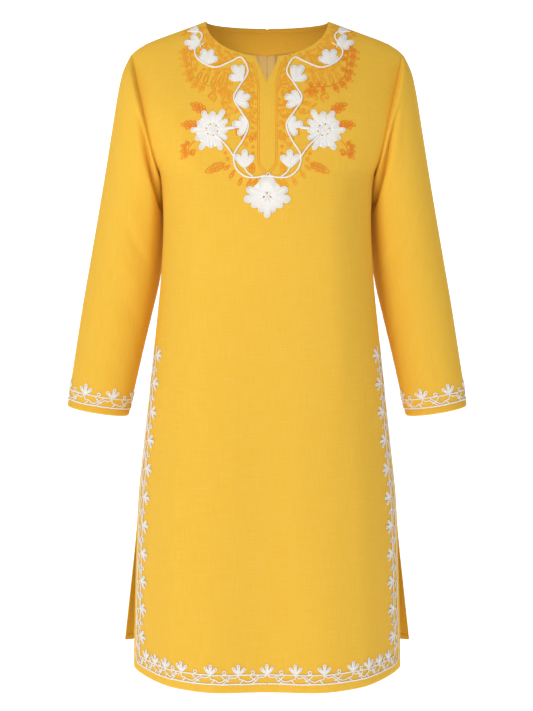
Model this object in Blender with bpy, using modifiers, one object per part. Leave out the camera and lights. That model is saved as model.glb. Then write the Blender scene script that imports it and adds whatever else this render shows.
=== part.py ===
"""A knee-length kurta tunic in plain-woven cotton, standing hollow in its worn form.

The cloth is cut as a front, two back halves with a centre-back seam, two set-in sleeves, a back
neck facing and a turned hem along each side slit. White cord flowers and a vine lie round the neck.
Metres, +Z up. The wearer faces -Y. The origin is midway between the two side neck points, on the
line of the shoulders, where the wearer holds the tunic up.
"""

import math
from collections import namedtuple

import bmesh
import bpy
from mathutils import Vector

MM = 0.001

# Overall sizes of the cut, in millimetres
HEM_Z = -985.0
SLIT_TOP_Z = -478.0
ARMPIT_Z = -228.0
ARMPIT_X = 161.5
NECK_HALF_WIDTH = 91.0
FRONT_NECK_DROP = 57.0
BACK_NECK_DROP = 4.0
NOTCH_HALF_WIDTH = 17.5
NOTCH_TOP_Z = -56.4
NOTCH_TIP_Z = -93.6
SHOULDER_HALF_WIDTH = 202.5
CLOTH = 1.2
SEAM_GAP = 0.3
FACING_DEPTH = 39.0

# Slope of the shoulder seam, and where it starts to round over into the sleeve
SHOULDER_SLOPE = 0.36
SHOULDER_ROUND_FROM = 160.0
SHOULDER_ROUND = 1.0e-4

# How far below the shoulder seam the cloth has turned from lying on top to hanging down
FRONT_TURN = 150.0
BACK_TURN = 90.0

Level = namedtuple("Level", "z half_width depth edge_y edge_open hem_lift")

# The front's plan at each height: half width, depth before the edge, the edge's y, and how far
# the edge is from having turned straight back (0 when it has). hem_lift raises the edge.
# Above the armpit the half width runs on past the armhole.
FRONT_LEVELS = (
    Level(20.0, 222.0, 58.0, 0.0, 0.0, 0.0),
    Level(0.0, 222.0, 62.0, 0.0, 0.0, 0.0),
    Level(-57.0, 221.0, 76.0, 0.0, 0.0, 0.0),
    Level(-92.0, 217.0, 87.0, 0.0, 0.0, 0.0),
    Level(-130.0, 208.0, 98.0, 0.0, 0.0, 0.0),
    Level(-180.0, 187.0, 110.0, 0.0, 0.0, 0.0),
    Level(-210.0, 171.0, 115.0, 0.0, 0.0, 0.0),
    Level(-228.0, 161.5, 117.5, 0.0, 0.0, 0.0),
    Level(-275.0, 157.0, 121.0, 0.0, 0.0, 0.0),
    Level(-320.0, 157.0, 121.0, 0.0, 0.0, 0.0),
    Level(-392.0, 161.5, 118.5, 0.0, 0.0, 0.0),
    Level(-465.0, 169.0, 119.0, 0.0, 0.0, 0.0),
    Level(-550.0, 178.5, 122.0, 0.0, 0.0, 0.0),
    Level(-640.0, 189.0, 126.0, -1.0, 0.01, 0.0),
    Level(-715.0, 197.0, 129.0, -3.0, 0.03, 0.0),
    Level(-800.0, 201.0, 132.0, -5.0, 0.05, 0.0),
    Level(-880.0, 203.5, 134.0, -6.0, 0.07, 0.0),
    Level(-985.0, 206.0, 137.0, -6.0, 0.08, 0.0),
)
BACK_LEVELS = (
    Level(20.0, 222.0, 103.0, 0.0, 0.0, 0.0),
    Level(0.0, 222.0, 103.0, 0.0, 0.0, 0.0),
    Level(-57.0, 221.0, 99.0, 0.0, 0.0, 0.0),
    Level(-92.0, 217.0, 104.0, 0.0, 0.0, 0.0),
    Level(-130.0, 208.0, 109.0, 0.0, 0.0, 0.0),
    Level(-180.0, 187.0, 112.0, 0.0, 0.0, 0.0),
    Level(-210.0, 171.0, 111.0, 0.0, 0.0, 0.0),
    Level(-228.0, 161.5, 109.0, 0.0, 0.0, 0.0),
    Level(-275.0, 157.0, 103.0, 0.0, 0.0, 0.0),
    Level(-320.0, 157.0, 98.0, 0.0, 0.0, 0.0),
    Level(-392.0, 161.5, 98.0, 0.0, 0.0, 0.0),
    Level(-465.0, 169.0, 110.0, 0.0, 0.0, 0.0),
    Level(-550.0, 178.5, 126.0, 1.0, 0.0, 0.0),
    Level(-640.0, 188.5, 130.0, 7.0, 0.0, 0.0),
    Level(-715.0, 197.0, 124.0, 20.0, 0.01, 2.0),
    Level(-800.0, 206.0, 108.0, 48.0, 0.02, 6.0),
    Level(-880.0, 216.0, 90.0, 80.0, 0.03, 11.0),
    Level(-985.0, 229.0, 68.0, 114.0, 0.04, 16.0),
)

# Flatness of the front and the back between the sides, and the width of the turn at each side
CROWN = 0.35
CROWN_WIDTH = 170.0
SIDE_TURN = 72.0

Fold = namedtuple("Fold", "at_x width top_z hem_rise")

# Soft folds that hang from the bust and from the shoulder blades: where each stands at the hem,
# how wide it is, where it starts, and how far it stands out at the hem
FRONT_FOLDS = (
    Fold(-90.0, 52.0, -215.0, 9.0),
    Fold(90.0, 52.0, -215.0, 9.0),
    Fold(0.0, 58.0, -260.0, -9.0),
    Fold(-172.0, 22.0, -520.0, -3.0),
    Fold(172.0, 22.0, -520.0, -3.0),
)
BACK_FOLDS = (
    Fold(-78.0, 46.0, -190.0, 10.0),
    Fold(78.0, 46.0, -190.0, 10.0),
    Fold(0.0, 40.0, -330.0, -10.0),
    Fold(-165.0, 42.0, -420.0, -8.0),
    Fold(165.0, 42.0, -420.0, -8.0),
)

SleeveRing = namedtuple("SleeveRing", "outer_x outer_z inner_x inner_z y half_depth")

# The sleeve's rings after the armhole: the outer and the inner side as seen from the front, the
# middle's y, and half the depth from front to back
SLEEVE_RINGS = (
    SleeveRing(208.5, -58.0, 161.5, -233.0, 5.0, 55.0),
    SleeveRing(217.0, -76.0, 160.5, -240.0, 9.0, 58.0),
    SleeveRing(224.0, -103.0, 160.0, -250.0, 15.0, 60.0),
    SleeveRing(232.0, -146.0, 159.5, -264.0, 22.0, 61.5),
    SleeveRing(240.0, -190.0, 158.5, -283.0, 29.0, 62.0),
    SleeveRing(249.0, -240.0, 158.5, -310.0, 34.0, 61.0),
    SleeveRing(260.0, -300.0, 160.5, -352.0, 37.0, 59.0),
    SleeveRing(270.5, -358.0, 165.5, -394.0, 37.0, 56.5),
    SleeveRing(281.5, -420.0, 178.0, -446.0, 34.0, 53.0),
    SleeveRing(291.5, -483.0, 192.0, -504.0, 29.0, 49.5),
    SleeveRing(301.0, -545.0, 205.0, -562.0, 23.0, 46.0),
    SleeveRing(306.0, -579.0, 212.5, -594.5, 20.0, 44.5),
)

Bend = namedtuple("Bend", "x z")

# The cord vine's bends on the wearer's left, from the shoulder down to the front's centre
VINE_BENDS = (
    Bend(118.0, -17.5),
    Bend(101.0, -18.5),
    Bend(95.5, -27.0),
    Bend(106.0, -47.0),
    Bend(98.5, -63.0),
    Bend(76.0, -73.5),
    Bend(53.0, -65.5),
    Bend(37.5, -59.5),
    Bend(27.5, -80.0),
    Bend(39.5, -101.0),
    Bend(48.0, -119.5),
    Bend(37.5, -139.0),
    Bend(27.0, -157.5),
    Bend(34.0, -178.5),
    Bend(47.0, -200.0),
    Bend(45.0, -219.5),
    Bend(31.5, -232.0),
    Bend(15.0, -233.5),
    Bend(2.2, -230.5),
)
CORD_RADIUS = 1.2
BEND_STEPS = 4

Flower = namedtuple("Flower", "x z points_to reach")

# Small flowers along the vine on the wearer's left: where each is, the way it points in degrees
# from +X, and how far its petals reach
VINE_FLOWERS = (
    Flower(114.0, -32.5, 0.0, 12.5),
    Flower(85.5, -57.0, 95.0, 14.0),
    Flower(45.0, -83.0, 50.0, 14.0),
    Flower(34.0, -121.0, 140.0, 13.5),
    Flower(41.5, -161.5, 0.0, 13.0),
    Flower(32.5, -207.0, 90.0, 14.0),
)

Petal = namedtuple("Petal", "turn reach spread")

# Petals of a small flower: turn from the way it points, share of its reach, and half its angle
SMALL_PETALS = (
    Petal(0.0, 1.0, 34.0),
    Petal(56.0, 0.96, 34.0),
    Petal(-56.0, 0.96, 34.0),
    Petal(112.0, 0.82, 36.0),
    Petal(-112.0, 0.82, 36.0),
)
SMALL_CORE = 0.55

# The two rosettes: long and short petals in turn, and a shorter one towards the vine
ROSETTE = Flower(80.0, -165.5, 0.0, 31.0)
ROSETTE_PETALS = 12
ROSETTE_SHORT_REACH = 0.80
ROSETTE_VINE_REACH = 0.78
ROSETTE_CORE = 0.62

# The pendant flower on the front's centre, wider than it is tall above its scalloped tip
PENDANT = Flower(0.0, -263.0, 90.0, 32.0)
PENDANT_PETALS = (
    Petal(0.0, 0.90, 24.0),
    Petal(46.0, 0.92, 26.0),
    Petal(-46.0, 0.92, 26.0),
    Petal(94.0, 1.04, 27.0),
    Petal(-94.0, 1.04, 27.0),
    Petal(138.0, 0.90, 20.0),
    Petal(-138.0, 0.90, 20.0),
    Petal(180.0, 0.98, 26.0),
)
PENDANT_CORE = 0.66
APPLIQUE = 1.0
LIE = 0.35
FACING_LIE = 0.9

ROWS_BELOW = 18
BODY_ROWS_ABOVE = 12
NOTCH_COLUMNS = 2
NECK_COLUMNS = 5
SHOULDER_COLUMNS = 6
HALF_COLUMNS = NOTCH_COLUMNS + NECK_COLUMNS + SHOULDER_COLUMNS
SLEEVE_POINTS = 2 * BODY_ROWS_ABOVE
FACING_SHOULDER_COLUMNS = 2
FACING_ROWS = 3
THIN = 0.8

# Colours, roughness of the cloth and of the cord
MUSTARD = (0.88, 0.52, 0.065)
FACING_MUSTARD = (0.84, 0.49, 0.06)
WHITE_CORD = (0.90, 0.89, 0.87)
CLOTH_ROUGH = 0.85
CORD_ROUGH = 0.6


def blend(a, b, share):
    return a + (b - a) * share


def smooth_between(levels, z):
    """The level at height z, on a smooth curve through the table's rows."""
    rows = sorted(levels)
    if z <= rows[0].z:
        return rows[0]
    if z >= rows[-1].z:
        return rows[-1]
    at = max(i for i in range(len(rows) - 1) if rows[i].z <= z)
    low, high = rows[at], rows[at + 1]
    before = rows[max(at - 1, 0)]
    after = rows[min(at + 2, len(rows) - 1)]
    span = high.z - low.z
    t = (z - low.z) / span
    values = [z]
    for column in range(1, len(low)):
        slope_low = (high[column] - before[column]) / (high.z - before.z) * span
        slope_high = (after[column] - low[column]) / (after.z - low.z) * span
        values.append(
            (2 * t**3 - 3 * t**2 + 1) * low[column]
            + (t**3 - 2 * t**2 + t) * slope_low
            + (3 * t**2 - 2 * t**3) * high[column]
            + (t**3 - t**2) * slope_high
        )
    return Level(*values)


def shoulder_z(x):
    """Height of the shoulder line over x, carried on smoothly over the neck opening."""
    x = abs(x)
    if x < NECK_HALF_WIDTH:
        return SHOULDER_SLOPE * (NECK_HALF_WIDTH**2 - x**2) / (2 * NECK_HALF_WIDTH)
    rounding = max(0.0, x - SHOULDER_ROUND_FROM)
    return -SHOULDER_SLOPE * (x - NECK_HALF_WIDTH) - SHOULDER_ROUND * rounding**3


def turned_down(x, z, turn):
    """0 on the shoulder line, rising to 1 where the cloth hangs straight below it."""
    share = min(1.0, max(0.0, (shoulder_z(x) - z) / turn))
    return math.sqrt(1.0 - (1.0 - share) ** 2)


def fold_rise(folds, x, z):
    """How far the folds push the cloth out at this place."""
    rise = 0.0
    for fold in folds:
        grown = min(1.0, max(0.0, (fold.top_z - z) / (fold.top_z - HEM_Z)))
        rise += fold.hem_rise * grown**1.1 * math.exp(-(((x - fold.at_x) / fold.width) ** 2))
    return rise


def rounded(share):
    """A quarter circle: 0 at the edge, rising steeply to 1."""
    return math.sqrt(1.0 - (1.0 - min(1.0, max(0.0, share))) ** 2)


def body_at(x, z, side):
    """The body's point at x and z. side is -1 for the front and 1 for the back."""
    front = side < 0
    level = smooth_between(FRONT_LEVELS if front else BACK_LEVELS, z)
    from_edge = max(0.0, level.half_width - abs(x)) / SIDE_TURN
    open_end = rounded(level.edge_open)
    turned = (rounded(from_edge + level.edge_open) - open_end) / (1.0 - open_end)
    crown = 1.0 - CROWN * (x / CROWN_WIDTH) ** 2
    depth = level.depth * crown * turned * turned_down(x, z, FRONT_TURN if front else BACK_TURN)
    depth += fold_rise(FRONT_FOLDS if front else BACK_FOLDS, x, z) * turned
    lift = level.hem_lift * (abs(x) / level.half_width) ** 3
    return Vector((x, level.edge_y + side * depth, z + lift))


def panel_point(x_share, z, side):
    """The body's point at height z, x_share of the way out to the panel's edge."""
    level = smooth_between(FRONT_LEVELS if side < 0 else BACK_LEVELS, z)
    return body_at(level.half_width * math.sin(math.pi / 2 * x_share), z, side)


def neck_z(x, drop):
    """Height of the neck edge over x: half an ellipse hung between the side neck points."""
    share = min(1.0, abs(x) / NECK_HALF_WIDTH)
    return -drop * math.sqrt(1.0 - share**2)


def front_top_z(x):
    if x < NOTCH_HALF_WIDTH:
        share = (x / NOTCH_HALF_WIDTH) ** 1.15
        return blend(NOTCH_TIP_Z, neck_z(NOTCH_HALF_WIDTH, FRONT_NECK_DROP), share)
    if x < NECK_HALF_WIDTH:
        return neck_z(x, FRONT_NECK_DROP)
    return shoulder_z(x)


def back_top_z(x):
    return neck_z(x, BACK_NECK_DROP) if x < NECK_HALF_WIDTH else shoulder_z(x)


def top_columns():
    """x of each column at the top edge: the notch, the neck edge, then the shoulder seam."""
    columns = [NOTCH_HALF_WIDTH * i / NOTCH_COLUMNS for i in range(NOTCH_COLUMNS)]
    for i in range(NECK_COLUMNS):
        angle = math.acos(NOTCH_HALF_WIDTH / NECK_HALF_WIDTH) * (1 - i / NECK_COLUMNS)
        columns.append(NECK_HALF_WIDTH * math.cos(angle))
    for i in range(SHOULDER_COLUMNS + 1):
        share = i / SHOULDER_COLUMNS
        columns.append(blend(NECK_HALF_WIDTH, SHOULDER_HALF_WIDTH, share * (1.15 - 0.15 * share)))
    return columns


def rows_up():
    """Shares of the way from the armpit to the top edge, closer together at both ends."""
    steps = range(1, BODY_ROWS_ABOVE + 1)
    shares = [(1 - math.cos(math.pi * j / BODY_ROWS_ABOVE)) / 2 for j in steps]
    shares[-FACING_ROWS - 1] = 1 - FACING_DEPTH / (-BACK_NECK_DROP - ARMPIT_Z)
    return shares


def half_panel(side, top_z, rows_below):
    """Rows of points from the hem to the top edge, each from the centre out to the wearer's left,
    which is +X."""
    rows = []
    for j in range(rows_below + 1):
        z = blend(HEM_Z, ARMPIT_Z, j / rows_below)
        rows.append([panel_point(i / HALF_COLUMNS, z, side) for i in range(HALF_COLUMNS + 1)])
    low_x = [ARMPIT_X * math.sin(math.pi / 2 * i / HALF_COLUMNS) for i in range(HALF_COLUMNS + 1)]
    for up in rows_up():
        row = []
        for x_low, x_top in zip(low_x, top_columns()):
            x, z = blend(x_low, x_top, up), blend(ARMPIT_Z, top_z(x_top), up)
            row.append(body_at(x, min(z, shoulder_z(x)), side))
        rows.append(row)
    return rows


def parted(rows, side):
    """The panel drawn back a little from its side seam, armhole and shoulder seam."""
    first_up = len(rows) - BODY_ROWS_ABOVE
    for j, row in enumerate(rows):
        if j < first_up:
            row[-1].y += side * 0.8 * SEAM_GAP
        else:
            row[-1].x -= SEAM_GAP
            row[-1].y += side * 0.3 * SEAM_GAP
    for point in rows[-1][NOTCH_COLUMNS + NECK_COLUMNS :]:
        point.y += side * 1.3 * SEAM_GAP
    return rows


def mirrored(point):
    return Vector((-point.x, point.y, point.z))


def lying_at(x, z, side, out):
    """A point lying off the body's surface, out from it or, when negative, into it."""
    here = body_at(x, z, side)
    across = body_at(x + 0.5, z, side) - body_at(x - 0.5, z, side)
    up = body_at(x, z + 0.5, side) - body_at(x, z - 0.5, side)
    normal = across.cross(up).normalized() * (1 if side < 0 else -1)
    return here + normal * out


def through(bends, steps):
    """A smooth row of points through the bends."""
    points = []
    for at in range(len(bends) - 1):
        before, low = Vector(bends[max(at - 1, 0)]), Vector(bends[at])
        high, after = Vector(bends[at + 1]), Vector(bends[min(at + 2, len(bends) - 1)])
        for step in range(steps):
            t = step / steps
            bent = 2 * low + (high - before) * t + (2 * before - 5 * low + 4 * high - after) * t**2
            points.append((bent + (3 * low - before - 3 * high + after) * t**3) / 2)
    return points + [Vector(bends[-1])]


def petal_reach(petals, core, reach, turn):
    """How far a flower reaches at this turn, in degrees from the way it points."""
    far = core
    for petal in petals:
        off = abs((turn - petal.turn + 180.0) % 360.0 - 180.0) / petal.spread
        if off < 1.0:
            far = max(far, petal.reach * math.sqrt(1.0 - off**2))
    return far * reach


def material(name, colour, rough):
    made = bpy.data.materials.new(name)
    made.use_nodes = True
    shader = made.node_tree.nodes["Principled BSDF"]
    shader.inputs["Base Color"].default_value = (*colour, 1.0)
    shader.inputs["Roughness"].default_value = rough
    shader.inputs["Metallic"].default_value = 0.0
    return made


def sheet(name, rows, finish, around=False, thick=CLOTH, grow=-1.0):
    """A cloth wall on a grid of points in millimetres. grow -1 thickens it inwards, 1 outwards."""
    shape = bmesh.new()
    grid = [[shape.verts.new(point * MM) for point in row] for row in rows]
    across = len(rows[0]) if around else len(rows[0]) - 1
    for low, high in zip(grid, grid[1:]):
        for i in range(across):
            k = (i + 1) % len(low)
            shape.faces.new((low[i], low[k], high[k], high[i]))
    mesh = bpy.data.meshes.new(name)
    shape.to_mesh(mesh)
    shape.free()
    mesh.materials.append(finish)
    mesh.shade_smooth()
    made = bpy.data.objects.new(name, mesh)
    parts.objects.link(made)
    wall = made.modifiers.new("cloth thickness", "SOLIDIFY")
    wall.thickness = thick * MM
    wall.offset = grow
    wall.use_even_offset = True
    return made


def make_front():
    """The front, in one piece with its neck notch."""
    rows = parted(half_panel(-1, front_top_z, ROWS_BELOW), -1)
    whole = [[mirrored(p) for p in reversed(row[1:])] + row for row in rows]
    return sheet("front", whole, cloth)


def make_back_half(name, wearer_left):
    """One back half, from the centre-back seam to the side."""
    rows = parted(half_panel(1, back_top_z, ROWS_BELOW), 1)
    for row in rows:
        row[0].x += 0.7 * SEAM_GAP
    if wearer_left:
        return sheet(name, [list(reversed(row)) for row in rows], cloth)
    return sheet(name, [[mirrored(p) for p in row] for row in rows], cloth)


def armhole():
    """Points round the armhole seam, from the shoulder down the front and up the back."""
    shares = [1.0] + [1 - up for up in rows_up()]
    loop = []
    for side, steps in ((-1, shares[:-1]), (1, list(reversed(shares))[:-1])):
        for share in steps:
            x = blend(ARMPIT_X, SHOULDER_HALF_WIDTH, share)
            z = blend(ARMPIT_Z, shoulder_z(SHOULDER_HALF_WIDTH), share)
            loop.append(body_at(x, min(z, shoulder_z(x)), side))
    return loop


def sleeve_ring(ring):
    """An oval ring of the sleeve, starting at its outer side and running round the front."""
    outer = Vector((ring.outer_x, ring.y, ring.outer_z))
    inner = Vector((ring.inner_x, ring.y, ring.inner_z))
    middle, half = (outer + inner) / 2, (outer - inner) / 2
    points = []
    for i in range(SLEEVE_POINTS):
        angle = 2 * math.pi * i / SLEEVE_POINTS
        forward = Vector((0.0, -ring.half_depth * math.sin(angle), 0.0))
        points.append(middle + half * math.cos(angle) + forward)
    return points


def make_sleeve(name, wearer_left):
    """One set-in sleeve, an open tube from the armhole to the cuff."""
    start = [point + Vector((1.4 * SEAM_GAP, 0.0, -0.6 * SEAM_GAP)) for point in armhole()]
    rows = [start] + [sleeve_ring(ring) for ring in SLEEVE_RINGS]
    if not wearer_left:
        rows = [[mirrored(p) for p in reversed(row)] for row in rows]
    return sheet(name, rows, cloth, around=True)


def make_neck_facing():
    """The facing inside the back neck, on the back's own grid so that it lies flat against it."""
    rows = []
    for row in half_panel(1, back_top_z, 1)[-FACING_ROWS - 1 :]:
        near = row[: NOTCH_COLUMNS + NECK_COLUMNS + FACING_SHOULDER_COLUMNS + 1]
        rows.append([(p.x, min(p.z, shoulder_z(p.x) - 0.1)) for p in near])
    laid = [[lying_at(x, z, 1, -(CLOTH + FACING_LIE)) for x, z in row] for row in rows]
    whole = [list(reversed(row)) + [mirrored(p) for p in row[1:]] for row in laid]
    return sheet("back_neck_facing", whole, facing, thick=THIN)


def make_slit_turning(name, wearer_left):
    """The back's turned edge along a slit: the back's last column, laid on its wrong side."""
    rows = []
    for j in range(ROWS_BELOW + 1):
        z = blend(HEM_Z, ARMPIT_Z, j / ROWS_BELOW)
        if z > SLIT_TOP_Z:
            break
        ends = [panel_point(1.0 - i / HALF_COLUMNS, z, 1) for i in range(2)]
        edge, fold = (lying_at(p.x, z, 1, -(CLOTH + LIE)) for p in ends)
        rows.append([edge.lerp(fold, share) for share in (0.07, 0.5, 1.0)])
    if not wearer_left:
        rows = [[mirrored(p) for p in reversed(row)] for row in rows]
    return sheet(name, rows, cloth, thick=THIN)


def make_vine(name, wearer_left):
    """The cord vine on one side of the neck."""
    across = 1 if wearer_left else -1
    route = bpy.data.curves.new(name, "CURVE")
    route.dimensions = "3D"
    route.bevel_depth = CORD_RADIUS * MM
    route.bevel_resolution = 1
    route.use_fill_caps = True
    places = through(VINE_BENDS, BEND_STEPS)
    line = route.splines.new("POLY")
    line.points.add(len(places) - 1)
    for point, place in zip(line.points, places):
        lying = lying_at(across * place.x, place.y, -1, CORD_RADIUS + LIE)
        point.co = (*(lying * MM), 1.0)
    route.materials.append(cord)
    made = bpy.data.objects.new(name, route)
    parts.objects.link(made)
    return made


def make_flower(name, flower, petals, core, points, wearer_left=True):
    """A raised flower of couched cord, lying on the front."""
    across = 1 if wearer_left else -1
    shape = bmesh.new()
    rings = []
    for share in (0.3, 0.7, 1.0):
        ring = []
        for i in range(points):
            turn = 360.0 * i / points
            far = share * petal_reach(petals, core, flower.reach, turn)
            angle = math.radians(flower.points_to + turn)
            x = across * (flower.x + far * math.cos(angle))
            lying = lying_at(x, flower.z + far * math.sin(angle), -1, LIE)
            ring.append(shape.verts.new(lying * MM))
        rings.append(ring if wearer_left else ring[:1] + ring[:0:-1])
    for inner, outer in zip(rings, rings[1:]):
        for i in range(points):
            k = (i + 1) % points
            shape.faces.new((inner[i], outer[i], outer[k], inner[k]))
    middle = shape.verts.new(lying_at(across * flower.x, flower.z, -1, LIE) * MM)
    for i in range(points):
        shape.faces.new((middle, rings[0][i], rings[0][(i + 1) % points]))
    mesh = bpy.data.meshes.new(name)
    shape.to_mesh(mesh)
    shape.free()
    mesh.materials.append(cord)
    made = bpy.data.objects.new(name, mesh)
    parts.objects.link(made)
    wall = made.modifiers.new("cord thickness", "SOLIDIFY")
    wall.thickness = APPLIQUE * MM
    wall.offset = 1.0
    return made


def rosette_petals():
    petals = []
    for i in range(ROSETTE_PETALS):
        reach = ROSETTE_SHORT_REACH if i % 2 else 1.0
        if i == ROSETTE_PETALS // 2:
            reach = ROSETTE_VINE_REACH
        petals.append(Petal(360.0 * i / ROSETTE_PETALS, reach, 17.0))
    return petals


bpy.ops.object.select_all(action="DESELECT")
for old in list(bpy.data.objects):
    bpy.data.objects.remove(old)
parts = bpy.data.collections.new("kurta tunic")
bpy.context.scene.collection.children.link(parts)
cloth = material("mustard cotton", MUSTARD, CLOTH_ROUGH)
facing = material("mustard facing", FACING_MUSTARD, CLOTH_ROUGH)
cord = material("white cord", WHITE_CORD, CORD_ROUGH)

make_front()
make_back_half("back_left", True)
make_back_half("back_right", False)
make_sleeve("sleeve_left", True)
make_sleeve("sleeve_right", False)
make_neck_facing()
for side_name, is_left in (("left", True), ("right", False)):
    make_slit_turning(f"slit_turning_{side_name}", is_left)
    make_vine(f"vine_{side_name}", is_left)
    make_flower(f"rosette_{side_name}", ROSETTE, rosette_petals(), ROSETTE_CORE, 60, is_left)
    for number, bloom in enumerate(VINE_FLOWERS, 1):
        flower_name = f"vine_flower_{side_name}_{number}"
        make_flower(flower_name, bloom, SMALL_PETALS, SMALL_CORE, 25, is_left)
make_flower("pendant_flower", PENDANT, PENDANT_PETALS, PENDANT_CORE, 60)
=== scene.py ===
# %% [markdown]
# # An embroidered kurta tunic
# The real object is a knee-length tunic of plain-woven mustard cotton. It is photographed
# filled out, with nobody in it, so the cloth stands hollow in the shape that it has when worn.
# A maker cuts a front, two back halves, two sleeves and a neck facing, sews them together, and
# works white cord and orange thread over them. The script follows that order: cloth first, then
# stitching, then embroidery, then the light and the camera. Everything is in metres.

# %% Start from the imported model
import math
import random
from collections import namedtuple

import bmesh
import bpy
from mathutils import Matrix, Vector


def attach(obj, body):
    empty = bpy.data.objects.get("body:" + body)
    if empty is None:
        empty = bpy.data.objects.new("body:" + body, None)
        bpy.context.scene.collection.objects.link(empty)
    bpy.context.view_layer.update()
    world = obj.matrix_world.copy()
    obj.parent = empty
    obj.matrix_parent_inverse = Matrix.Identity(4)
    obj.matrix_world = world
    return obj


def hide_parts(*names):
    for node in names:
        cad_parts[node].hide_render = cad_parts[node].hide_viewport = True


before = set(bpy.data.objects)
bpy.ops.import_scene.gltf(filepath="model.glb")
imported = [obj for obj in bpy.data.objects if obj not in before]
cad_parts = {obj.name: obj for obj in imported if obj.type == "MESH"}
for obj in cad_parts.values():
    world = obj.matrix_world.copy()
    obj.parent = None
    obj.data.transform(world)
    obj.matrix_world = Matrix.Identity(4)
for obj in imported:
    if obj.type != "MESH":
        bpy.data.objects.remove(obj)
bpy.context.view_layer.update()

MM = 0.001
random.seed(7)

# %% [markdown]
# ## The shape of the body
# The body is not drawn point by point. At each height it has a half width, a depth in front or
# behind, and an edge that may swing away below the hips where the side slits open. A short table
# gives these sizes at a few heights, and a smooth curve joins them. The solids were made from
# nearly the same table, so the cloth lies where they are, apart from the front's two lower
# corners, which are lifted 4 mm more here, and the sleeves' inner sides. The sizes are in
# millimetres, because that is how a pattern cutter works.

# %% Sizes of the cut
HEM_Z = -985.0
SLIT_TOP_Z = -478.0
ARMPIT_Z = -228.0
ARMPIT_X = 161.5
NECK_HALF_WIDTH = 91.0
FRONT_NECK_DROP = 57.0
BACK_NECK_DROP = 4.0
NOTCH_HALF_WIDTH = 17.5
NOTCH_TIP_Z = -93.6
SHOULDER_HALF_WIDTH = 202.5
SHOULDER_SLOPE = 0.36
SHOULDER_ROUND_FROM = 160.0
SHOULDER_ROUND = 1.0e-4
FACING_DEPTH = 39.0
# Over how many millimetres the cloth turns: down from the shoulder, and in from the side
FRONT_TURN, BACK_TURN, SIDE_TURN = 150.0, 90.0, 72.0
# How much less deep the body is away from its middle
CROWN, CROWN_WIDTH = 0.35, 170.0
CLOTH = 0.9
FRONT, BACK = -1, 1

# edge_y is where the side edge lies from front to back, edge_open how flat the cloth is there,
# and hem_lift how far the corner beside a slit is raised
Level = namedtuple("Level", "z half_width depth edge_y edge_open hem_lift", defaults=(0, 0, 0))

FRONT_LEVELS = (
    Level(20, 222, 58), Level(0, 222, 62), Level(-57, 221, 76), Level(-92, 217, 87),
    Level(-130, 208, 98), Level(-180, 187, 110), Level(-210, 171, 115), Level(-228, 161.5, 117.5),
    Level(-275, 157, 121), Level(-320, 157, 121), Level(-392, 161.5, 118.5),
    Level(-465, 169, 119), Level(-550, 178.5, 122), Level(-640, 189, 126, -1, 0.01, 0),
    Level(-715, 197, 129, -3, 0.03, 0), Level(-800, 201, 132, -5, 0.05, 0),
    Level(-880, 203.5, 134, -6, 0.07, 2), Level(-985, 206, 137, -6, 0.08, 4),
)
BACK_LEVELS = (
    Level(20, 222, 103), Level(0, 222, 103), Level(-57, 221, 99), Level(-92, 217, 104),
    Level(-130, 208, 109), Level(-180, 187, 112), Level(-210, 171, 111), Level(-228, 161.5, 109),
    Level(-275, 157, 103), Level(-320, 157, 98), Level(-392, 161.5, 98), Level(-465, 169, 110),
    Level(-550, 178.5, 126, 1, 0, 0), Level(-640, 188.5, 130, 7, 0, 0),
    Level(-715, 197, 124, 20, 0.01, 2), Level(-800, 206, 108, 48, 0.02, 6),
    Level(-880, 216, 90, 80, 0.03, 11), Level(-985, 229, 68, 114, 0.04, 16),
)


# %% Read the tables
def blend(a, b, share):
    return a + (b - a) * share


def smooth_between(levels, z):
    """The level at height z, on a smooth curve through the table's rows."""
    rows = sorted(levels)
    if z <= rows[0].z:
        return rows[0]
    if z >= rows[-1].z:
        return rows[-1]
    at = max(i for i in range(len(rows) - 1) if rows[i].z <= z)
    low, high = rows[at], rows[at + 1]
    before = rows[max(at - 1, 0)]
    after = rows[min(at + 2, len(rows) - 1)]
    span = high.z - low.z
    t = (z - low.z) / span
    values = [z]
    for column in range(1, len(low)):
        slope_low = (high[column] - before[column]) / (high.z - before.z) * span
        slope_high = (after[column] - low[column]) / (after.z - low.z) * span
        values.append(
            (2 * t**3 - 3 * t**2 + 1) * low[column]
            + (t**3 - 2 * t**2 + t) * slope_low
            + (3 * t**2 - 2 * t**3) * high[column]
            + (t**3 - t**2) * slope_high
        )
    return Level(*values)


LOWEST_Z = -990
STEPS_UP = 1012
EVERY_MM = {
    FRONT: [smooth_between(FRONT_LEVELS, LOWEST_Z + i) for i in range(STEPS_UP)],
    BACK: [smooth_between(BACK_LEVELS, LOWEST_Z + i) for i in range(STEPS_UP)],
}


def level_at(side, z):
    """The level at height z, read between two rows of the list made for every millimetre."""
    place = min(max(z - LOWEST_Z, 0.0), STEPS_UP - 1.001)
    below = int(place)
    share = place - below
    low, high = EVERY_MM[side][below], EVERY_MM[side][below + 1]
    return [a + (b - a) * share for a, b in zip(low, high)]


print("half width at the armpit:", round(level_at(FRONT, ARMPIT_Z)[1], 1), "mm")

# %% [markdown]
# ## Folds
# Light cotton hangs in a few long soft folds, not in many sharp ones. Two ridges fall from the
# bust with a shallow valley between them, and two more fall from the shoulder blades. Each fold
# is a bump across the cloth that grows from where it starts to the hem. Smaller drag lines run
# from the armholes, where the cloth is pulled. They are added to the depth of the body.

# %% Long folds and short creases
Fold = namedtuple("Fold", "at_x width top_z hem_rise")

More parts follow.
